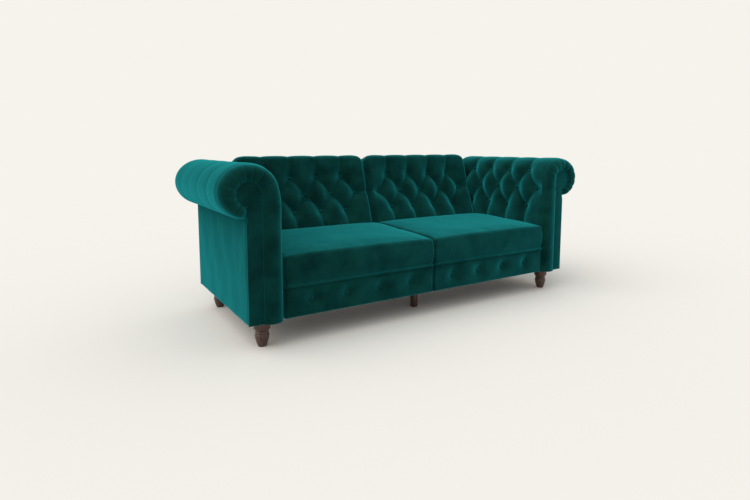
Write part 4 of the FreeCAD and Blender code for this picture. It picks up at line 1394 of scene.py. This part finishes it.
    def button_seats(self) -> list[tuple[Vector, Vector]]:
        """Find where the arm's buttons sit.

        Returns:
            The foot and outward direction of each button.
        """
        outline = self.outline()
        run = np.linspace(0, self.rows_along(outline)[3], len(outline))
        seats = []
        for y, along in self.tufting(outline).buttons:
            spot, ahead = (np.array([np.interp(place, run, outline[:, axis]) for axis in (0, 1)])
                           for place in (along, along + self.look_ahead))
            out = (ahead - spot) / np.linalg.norm(ahead - spot)
            outward = Vector((-out[1] * self.side.value, 0, out[0]))
            foot = Vector((spot[0] * self.side.value, y, spot[1])) - outward * self.button_seat
            seats.append((foot, outward))
        return seats

    def build(self) -> None:
        """Build and dress the arm."""
        self.cover()
        self.keyhole_panel()
        self.piping()
        self.outer_panel()
        self.rear_panel()


@dataclass
class SeatHalf(Maker):
    """One seat half: cushion, buttoned front rail, rear cover, piping, straps and the cloth underneath."""

    side: Side
    # Cushion
    soft_edge: float = 0.013
    cushion_step: float = 0.012
    front_drop: float = 0.004
    rear_rise: float = 0.015
    crown: float = 0.008
    bulge: float = 0.007
    bulge_tuck: float = 0.4
    rear_lean: float = 0.026
    rear_band: float = 0.12
    pressure: float = 1.2
    held_height: float = 0.012
    cap: float = 0.008
    frames: int = 14
    # Front rail
    rail_rim: float = 0.010
    rail_step: float = 0.004
    rail_fullness: float = 0.0015
    fold_turns: tuple[int, ...] = (20, 90, 160, 215, 270, 325)
    fold_reach: Pair = (0.058, 0.050)
    fold_pull: float = 0.42
    fold_depth: float = 0.015
    fold_width: float = 0.022
    dimple_depth: float = 0.006
    dimple_radius: float = 0.019
    button_count: int = 4
    button_step: float = 0.177
    button_seat: float = 0.015
    # Rear cover
    rail_depth: float = 0.020
    hinge_clear: float = 0.012
    cover_thick: float = 0.006
    cover_sink: float = 0.001
    cover_rim: float = 0.004
    cover_step: float = 0.012
    # Piping
    welt_proud: float = 0.0022
    welt_turns: int = 16
    welt_round: float = 0.4
    # Straps and lining
    strap_count: int = 5
    strap_width: float = 0.060
    strap_give: float = 0.005
    lining_grid: tuple[int, int] = (60, 40)
    lining_sag: float = 0.004
    lining_thick: float = 0.0012

    def cushion_start(self) -> Piece:
        """Model the right-hand cushion before it is filled: soft rims, full sides and a leaning rear.

        Returns:
            The closed cushion.
        """
        low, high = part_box(f"seat_cushion_{Side.RIGHT.tag}")
        tall = high.z - low.z
        rims = (self.soft_edge, self.soft_edge)
        slab = Slab((low.x, high.x), (low.y, high.y), tall, rims, rims, self.cushion_step)
        local = slab.lattice()[0]
        rise = 1.0 - local[..., 2] / tall
        back = np.clip((local[..., 1] - low.y) / (high.y - low.y), 0, 1)
        wide = np.clip((local[..., 0] - low.x) / (high.x - low.x), 0, 1)
        points = np.stack([local[..., 0], local[..., 1], high.z - local[..., 2]], axis=-1)
        crown = -self.crown * (np.abs(2 * wide - 1) ** 4 + np.abs(2 * back - 1) ** 4)
        points[..., 2] += (self.rear_rise * back - self.front_drop * (1 - back) + crown) * rise
        middle = np.array([(low.x + high.x) / 2, (low.y + high.y) / 2])
        half = np.array([(high.x - low.x) / 2, (high.y - low.y) / 2])
        belly = self.bulge * (1 - (2 * rise - 1) ** 2) - self.bulge * self.bulge_tuck
        points[..., :2] += (points[..., :2] - middle) / half * belly[..., None]
        rear = ease((points[..., 1] - high.y + self.rear_band) / self.rear_band)
        points[..., 1] -= rear * (1 - rise) * self.rear_lean
        piece = lattice_piece("cushion_filling", points)
        close_and_smooth(piece)
        return piece

    def fill(self, piece: Piece) -> None:
        """Fill the cushion with cloth simulation under pressure, held at its base.

        Args:
            piece: Closed cushion to swell.
        """
        rest = np.array([vertex.co for vertex in piece.data.vertices])
        base = piece.vertex_groups.new(name="base")
        held = np.where(rest[:, 2] < rest[:, 2].min() + self.held_height)[0]
        base.add(held.tolist(), 1.0, "REPLACE")
        cloth = piece.modifiers.new("filling", "CLOTH")
        settings = cloth.settings
        settings.use_pressure = True
        settings.uniform_pressure_force = self.pressure
        settings.vertex_group_mass = "base"
        settings.effector_weights.gravity = 0.0
        scene = bpy.context.scene
        for number in range(1, self.frames + 1):
            scene.frame_set(number)
        select_only(piece)
        bpy.ops.object.modifier_apply(modifier=cloth.name)
        scene.frame_set(1)
        shift = np.array([vertex.co for vertex in piece.data.vertices]) - rest
        most = np.linalg.norm(shift, axis=1).max()
        LOG.info("cushion filled by up to %.4f m", most)
        shift *= self.cap / max(self.cap, most)
        piece.data.vertices.foreach_set("co", (rest + shift).ravel())
        piece.data.update()
        piece.vertex_groups.clear()
        self.refine(piece)

    def refine(self, piece: Piece) -> None:
        """Take the flat base away, round the cushion's mesh once and put the base back.

        Args:
            piece: Filled cushion to refine.
        """
        with edit_mode(piece):
            bpy.ops.mesh.select_mode(type="FACE")
            bpy.ops.mesh.select_all(action="DESELECT")
            bpy.ops.mesh.select_face_by_sides(number=4, type="GREATER")
            bpy.ops.mesh.delete(type="ONLY_FACE")
        apply_modifier(piece, "SUBSURF", levels=1, render_levels=1)
        close_and_smooth(piece)

    @classmethod
    def filled_mesh(cls) -> bpy.types.Mesh:
        """Fill the right-hand cushion, once.
        """
        found = bpy.data.meshes.get("cushion_filling")
        if found:
            return found
        maker = cls(Side.RIGHT)
        piece = maker.cushion_start()
        maker.fill(piece)
        mesh = piece.data
        bpy.data.objects.remove(piece)
        return mesh

    def cushion(self) -> None:
        """Build this half's cushion as its own copy of the filled one."""
        mesh = self.filled_mesh().copy()
        mesh.name = f"{self.side.tag}_seat_cushion_cover"
        if self.side is Side.LEFT:
            mesh.transform(Matrix.Scale(-1, 4, Vector((1, 0, 0))))
            mesh.flip_normals()
        piece = linked(mesh.name, mesh)
        shade(piece)
        self.dress(piece, "velvet", Slot.VELVET, Body.BASE, f"seat_cushion_{self.side.tag}")

    def rail_buttons(self) -> list[Pair]:
        """Lay out the rail's buttons.

        Returns:
            The across and up place of each button.
        """
        low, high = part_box(f"seat_front_pad_{self.side.tag}")
        centre = (low + high) / 2
        places = np.arange(self.button_count) - (self.button_count - 1) / 2
        return [(centre.x + self.button_step * place, centre.z) for place in places]

    def rail(self) -> None:
        """Build the padded front rail with a dimple and short folds at each button."""
        low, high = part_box(f"seat_front_pad_{self.side.tag}")
        rims = (self.rail_rim, self.rail_rim)
        slab = Slab((low.x, high.x), (low.z, high.z), high.y - low.y, rims, rims, self.rail_step)
        local, across, up, face = slab.lattice()
        buttons = self.rail_buttons()
        pleats = []
        for x, z in buttons:
            for aim in map(math.radians, self.fold_turns):
                tip = (x + self.fold_reach[0] * math.cos(aim), z + self.fold_reach[1] * math.sin(aim))
                pleats.append(Pleat((x, z), tip, self.fold_pull, 0.0))
        tufting = Tufting(buttons, pleats, self.fold_depth, self.fold_width, self.dimple_depth,
                          self.dimple_radius)
        local[..., 2] += (tufting.sink(across, up) - self.rail_fullness) * face
        points = np.stack([local[..., 0], low.y + local[..., 2], local[..., 1]], axis=-1)
        piece = lattice_piece(f"{self.side.tag}_rail_cover", points)
        close_and_smooth(piece)
        self.dress(piece, "velvet", Slot.VELVET, Body.BASE, f"seat_front_pad_{self.side.tag}")

    def rear_rail(self) -> None:
        """Build the plain cover over the rear rail, between the hinge plates."""
        low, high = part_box(f"seat_cross_rails_{self.side.tag}")
        inner, outer = reach_x((low, high))
        rims = (self.cover_rim, self.cover_rim)
        across = (inner + self.hinge_clear + self.rail_depth, outer - self.hinge_clear - self.rail_depth)
        slab = Slab(across, (low.z, high.z), self.cover_thick + self.cover_sink, rims, rims, self.cover_step)
        local = slab.lattice()[0]
        points = np.stack([local[..., 0], high.y + self.cover_thick - local[..., 2], local[..., 1]], axis=-1)
        piece = lattice_piece(f"{self.side.tag}_rear_rail_cover", self.mirrored(points, self.side))
        close_and_smooth(piece)
        self.dress(piece, "velvet", Slot.VELVET, Body.BASE)

    def welt(self) -> None:
        """Build the piping along the rail's top, with soft ends."""
        low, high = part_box(f"seat_welt_{self.side.tag}")
        centre = (low + high) / 2 - Vector((0, self.welt_proud, 0))
        radius = (high.z - low.z) / 2
        bpy.ops.mesh.primitive_cylinder_add(vertices=self.welt_turns, radius=radius, depth=high.x - low.x,
                                            location=centre, rotation=(0, math.pi / 2, 0))
        piece = settled(f"{self.side.tag}_rail_piping")
        ease_edges(piece, radius * self.welt_round, 3)
        self.dress(piece, "velvet", Slot.VELVET, Body.BASE, f"seat_welt_{self.side.tag}")

    def webbing(self) -> None:
        """Build the straps stretched from the front rail to the rear rail under the cushion."""
        low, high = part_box(f"seat_webbing_{self.side.tag}")
        half = self.strap_width / 2
        lattices = []
        for middle in np.linspace(low.x + half, high.x - half, self.strap_count):
            across, along, give = self.strap_grid(middle, self.strap_width, (low.y, high.y), self.strap_give)
            lattices.append(np.stack([across, along, (low.z + high.z) / 2 - give], axis=-1))
        piece = self.straps(f"{self.side.tag}_seat_straps", lattices, high.z - low.z)
        self.dress(piece, "strap", Slot.WEBBING, Body.BASE, f"seat_webbing_{self.side.tag}")

    def dust_cloth(self) -> None:
        """Build the lining stretched under the seat frame, with a shallow sag."""
        low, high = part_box(f"seat_dust_cover_{self.side.tag}")
        wide, deep = high.x - low.x, high.y - low.y
        across, along = np.meshgrid(np.linspace(low.x, high.x, self.lining_grid[0]),
                                    np.linspace(low.y, high.y, self.lining_grid[1]), indexing="ij")
        share = np.sin((across - low.x) / wide * math.pi) * np.sin((along - low.y) / deep * math.pi)
        points = np.stack([across, along, low.z - self.lining_sag * share], axis=-1)
        piece = lattice_piece(f"{self.side.tag}_seat_lining", points)
        apply_modifier(piece, "SOLIDIFY", thickness=self.lining_thick)
        shade(piece)
        self.dress(piece, "lining", Slot.DUST_CLOTH, Body.BASE, f"seat_dust_cover_{self.side.tag}")

    def build(self) -> None:
        """Build and dress the half."""
        self.cushion()
        self.rail()
        self.rear_rail()
        self.welt()
        self.webbing()
        self.dust_cloth()


@dataclass
class SeatJoint(Maker):
    """The covered edge seen in the narrow gap between the two seat halves."""

    half_width: float = 0.0065
    thick: float = 0.004
    above_rail: float = 0.040
    edge_share: float = 0.3

    def build(self) -> None:
        """Model the strip from a cube, close in front of the frame."""
        low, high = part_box("seat_front_pad_right")
        size = Vector((self.half_width * 2, self.thick, high.z + self.above_rail - low.z))
        centre = Vector((0, high.y - self.thick / 2, low.z + size.z / 2))
        bpy.ops.mesh.primitive_cube_add(size=1, location=centre, scale=size)
        piece = settled("seat_joint_strip")
        ease_edges(piece, self.thick * self.edge_share, 2)
        self.dress(piece, "velvet", Slot.VELVET, Body.BASE)


@dataclass(frozen=True)
class Span:
    """One stretch of a turned profile, in shares of the foot's half width and of its height."""

    start: float
    end: float
    base: float
    top: float
    swell: float
    rings: int

    def ring(self, share: float) -> Pair:
        """Return the radius and height at a share of the stretch."""
        radius = self.start + (self.end - self.start) * share + self.swell * math.sin(math.pi * share)
        return radius, self.base + (self.top - self.base) * share


@dataclass
class Foot(Maker):
    """A turned foot: tapered bulb, bead and flared collar."""

    node: str
    turns: int = 48
    toe: float = 0.47
    spans: tuple[Span, ...] = (
        Span(0.51, 0.84, 0.015, 0.38, 0.035, 12), Span(0.84, 0.77, 0.385, 0.47, 0.03, 6),
        Span(0.75, 0.75, 0.48, 0.56, 0.05, 7), Span(0.74, 0.95, 0.57, 0.66, -0.02, 6),
        Span(0.97, 0.92, 0.67, 1.0, 0.03, 8),
    )

    def profile(self) -> list[Pair]:
        """Lay out the turned rings.

        Returns:
            The radius and height of each ring, from the toe up.
        """
        low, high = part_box(self.node)
        wide, tall = (high.x - low.x) / 2, high.z - low.z
        rings = [(self.toe, 0.0)]
        for span in self.spans:
            rings += [span.ring(share) for share in np.linspace(0, 1, span.rings)]
        return [(wide * radius, tall * height) for radius, height in rings]

    def build(self) -> None:
        """Turn the foot ring by ring from a circle."""
        low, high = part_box(self.node)
        centre = (low + high) / 2
        rings = self.profile()
        bpy.ops.mesh.primitive_circle_add(vertices=self.turns, radius=rings[0][0], fill_type="NGON",
                                          location=(centre.x, centre.y, low.z))
        piece = settled(f"{self.node}_turned")
        with edit_mode(piece):
            bpy.ops.mesh.select_mode(type="FACE")
            for (radius, height), (wider, higher) in zip(rings, rings[1:]):
                move = {"value": (0, 0, max(higher - height, LEAST_RISE))}
                bpy.ops.mesh.extrude_region_move(TRANSFORM_OT_translate=move)
                bpy.ops.transform.resize(value=(wider / radius, wider / radius, 1),
                                         center_override=(centre.x, centre.y, higher))
            bpy.ops.mesh.select_all(action="SELECT")
            bpy.ops.mesh.remove_doubles(threshold=MERGE)
            bpy.ops.mesh.normals_make_consistent(inside=False)
        shade(piece, crease=35)
        self.dress(piece, "stained_wood", Slot.FOOT_WOOD, Body.BASE, self.node)


@dataclass
class CentreLeg(Maker):
    """A square support leg with eased edges."""

    node: str
    edge: float = 0.0022

    def build(self) -> None:
        """Model the leg from a cube."""
        low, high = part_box(self.node)
        bpy.ops.mesh.primitive_cube_add(size=1, location=(low + high) / 2, scale=high - low)
        piece = settled(f"{self.node}_eased")
        ease_edges(piece, self.edge, 3)
        self.dress(piece, "stained_wood", Slot.FOOT_WOOD, Body.BASE, self.node)


class Carcass(Maker):
    """The CAD nodes that keep their own shape: frames, hinges and fasteners."""

    looks = {
        "arm_frame": "timber", "arm_roll_core": "timber", "seat_side_rails": "long_timber",
        "seat_cross_rails": "timber", "back_frame": "timber", "hinge_seat_arms": "black_steel",
        "hinge_back_arms": "black_steel", "hinge_pins": "zinc", "hinge_seat_bolts": "zinc",
        "hinge_back_bolts": "zinc", "arm_bolts": "zinc", "foot_hanger_bolts": "zinc",
        "seat_joining_bolts": "zinc", "center_leg_screws": "zinc", "center_leg_plates": "black_steel",
    }

    def build(self) -> None:
        """Give each remaining node its finish."""
        for name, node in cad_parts.items():
            stem = name.removesuffix("_left").removesuffix("_right")
            if stem in self.looks:
                node.data.materials.clear()
                node.data.materials.append(self.finishes[self.looks[stem]])
                LOG.info("%s keeps its shape", name)


@dataclass
class Studio:
    """Pale floor, soft light and the photograph's camera."""

    backdrop: Colour = (0.921, 0.896, 0.838)
    dim_floor: Colour = (0.42, 0.42, 0.42)
    floor_size: float = 60.0
    floor_drop: float = 0.0005
    level: float = 0.92
    sky: float = 0.62
    sun_spread: float = math.radians(75)
    sun_aim: Triple = (0.64, 0.08, -0.76)
    eye: Triple = (-1.5898, -2.3826, 0.8389)
    tilt: float = math.pi / 2 - 0.1084
    pan: float = -0.5629
    lens: float = 24.78
    sensor: float = 36.0
    shift: Pair = (-0.0026, -0.0619)

    def camera(self) -> None:
        """Place the camera at the photograph's viewing angle."""
        data = bpy.data.cameras.new("photo_camera")
        data.lens = self.lens
        data.sensor_width = self.sensor
        data.shift_x, data.shift_y = self.shift
        camera = bpy.data.objects.new("photo_camera", data)
        camera.location = self.eye
        camera.rotation_euler = (self.tilt, 0.0, self.pan)
        bpy.context.scene.collection.objects.link(camera)
        bpy.context.scene.camera = camera

    def world(self) -> None:
        """Light the room evenly and show the backdrop's colour to the camera."""
        graph = Graph(bpy.data.worlds.new("studio"))
        path = graph.add("LightPath")
        seen = graph.combine("MAXIMUM", path.outputs["Is Camera Ray"], path.outputs["Is Glossy Ray"])
        fill = graph.add("Background", Color=(1.0, 1.0, 1.0, 1.0), Strength=self.sky)
        shown = graph.add("Background", Color=(*self.backdrop, 1.0))
        mix = graph.add("MixShader")
        for socket, source in zip(mix.inputs, (seen, fill.outputs[0], shown.outputs[0])):
            graph.feed(socket, source)
        graph.add("OutputWorld", Surface=mix.outputs[0])
        bpy.context.scene.world = graph.owner

    def lamps(self) -> None:
        """Hang one broad lamp to the upper left."""
        data = bpy.data.lights.new("window", "SUN")
        aim = Vector(self.sun_aim).normalized()
        data.energy = (self.level - self.sky) * math.pi / -aim.z
        data.angle = self.sun_spread
        lamp = bpy.data.objects.new("window", data)
        lamp.rotation_euler = aim.to_track_quat("-Z", "Y").to_euler()
        bpy.context.scene.collection.objects.link(lamp)

    def floor(self) -> None:
        """Lay a wide pale floor that keeps the sofa's shadow."""
        bpy.ops.mesh.primitive_plane_add(size=self.floor_size, location=(0, 0, -self.floor_drop))
        floor = bpy.context.object
        floor.name = "studio_floor"
        graph = Graph(bpy.data.materials.new("studio_floor"))
        path = graph.add("LightPath")
        seen = path.outputs["Is Camera Ray"]
        for ray in ("Is Glossy Ray", "Is Transmission Ray"):
            seen = graph.combine("MAXIMUM", seen, path.outputs[ray])
        pale = tuple(min(1.0, part / self.level) for part in self.backdrop)
        tone = graph.ramp(seen, (0.0, 1.0), (self.dim_floor, pale))
        floor.data.materials.append(graph.finish(Base_Color=tone, Roughness=1.0, Specular_IOR_Level=0.0))

    def build(self) -> None:
        """Set up the whole studio."""
        self.camera()
        self.world()
        self.lamps()
        self.floor()
        bpy.context.scene.view_settings.view_transform = "Standard"


def make_finishes() -> dict[str, Material]:
    """Make every finish.

    Returns:
        The materials by their names.
    """
    looks = {
        "velvet": Velvet("teal_velvet"),
        "panel_velvet": Velvet("teal_velvet_upright", streak=(1.3, 1.3, 0.75)),
        "stained_wood": StainedWood("stained_wood"),
        "timber": SawnTimber("frame_timber"),
        "long_timber": SawnTimber("frame_timber_long", grain=(40.0, 3.0, 40.0)),
        "black_steel": Steel("painted_steel", (0.010, 0.010, 0.011), (0.022, 0.022, 0.024), 0.0,
                             (0.38, 0.52)),
        "zinc": Steel("zinc_plated_steel", (0.45, 0.46, 0.48), (0.62, 0.63, 0.64), 1.0, (0.28, 0.42)),
        "strap": WovenCloth("elastic_strap", (0.05, 0.05, 0.05), (0.16, 0.15, 0.14), 160.0),
        "lining": WovenCloth("black_lining", (0.006, 0.006, 0.007), (0.022, 0.022, 0.024), 220.0),
    }
    return {name: look.material() for name, look in looks.items()}


def main() -> None:
    """Build the studio and every sub-assembly in order."""
    logging.basicConfig(level=logging.INFO, format="%(name)s %(message)s")
    Studio().build()
    Maker.finishes = make_finishes()
    for side in Side:
        Arm(side).build()
        SeatHalf(side).build()
        BackHalf(side).build()
    arm_seats = [seat for side in Side for seat in Arm(side).button_seats()]
    Maker.dress(Button().row("arm_button_set", arm_seats), "velvet", Slot.VELVET, Body.BASE, "arm_buttons")
    rail_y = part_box("seat_front_pad_right")[0].y + SeatHalf(Side.RIGHT).button_seat
    rail_seats = [(Vector((x, rail_y, z)), Vector((0, -1, 0)))
                  for side in Side for x, z in SeatHalf(side).rail_buttons()]
    Maker.dress(Button().row("rail_button_set", rail_seats), "velvet", Slot.VELVET, Body.BASE,
                "seat_front_buttons")
    SeatJoint().build()
    for name in sorted(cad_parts):
        if name.startswith("foot_") and not name.endswith("bolts"):
            Foot(name).build()
        if name in ("center_leg_front", "center_leg_rear"):
            CentreLeg(name).build()
    Carcass().build()


if __name__ == "__main__":
    main()
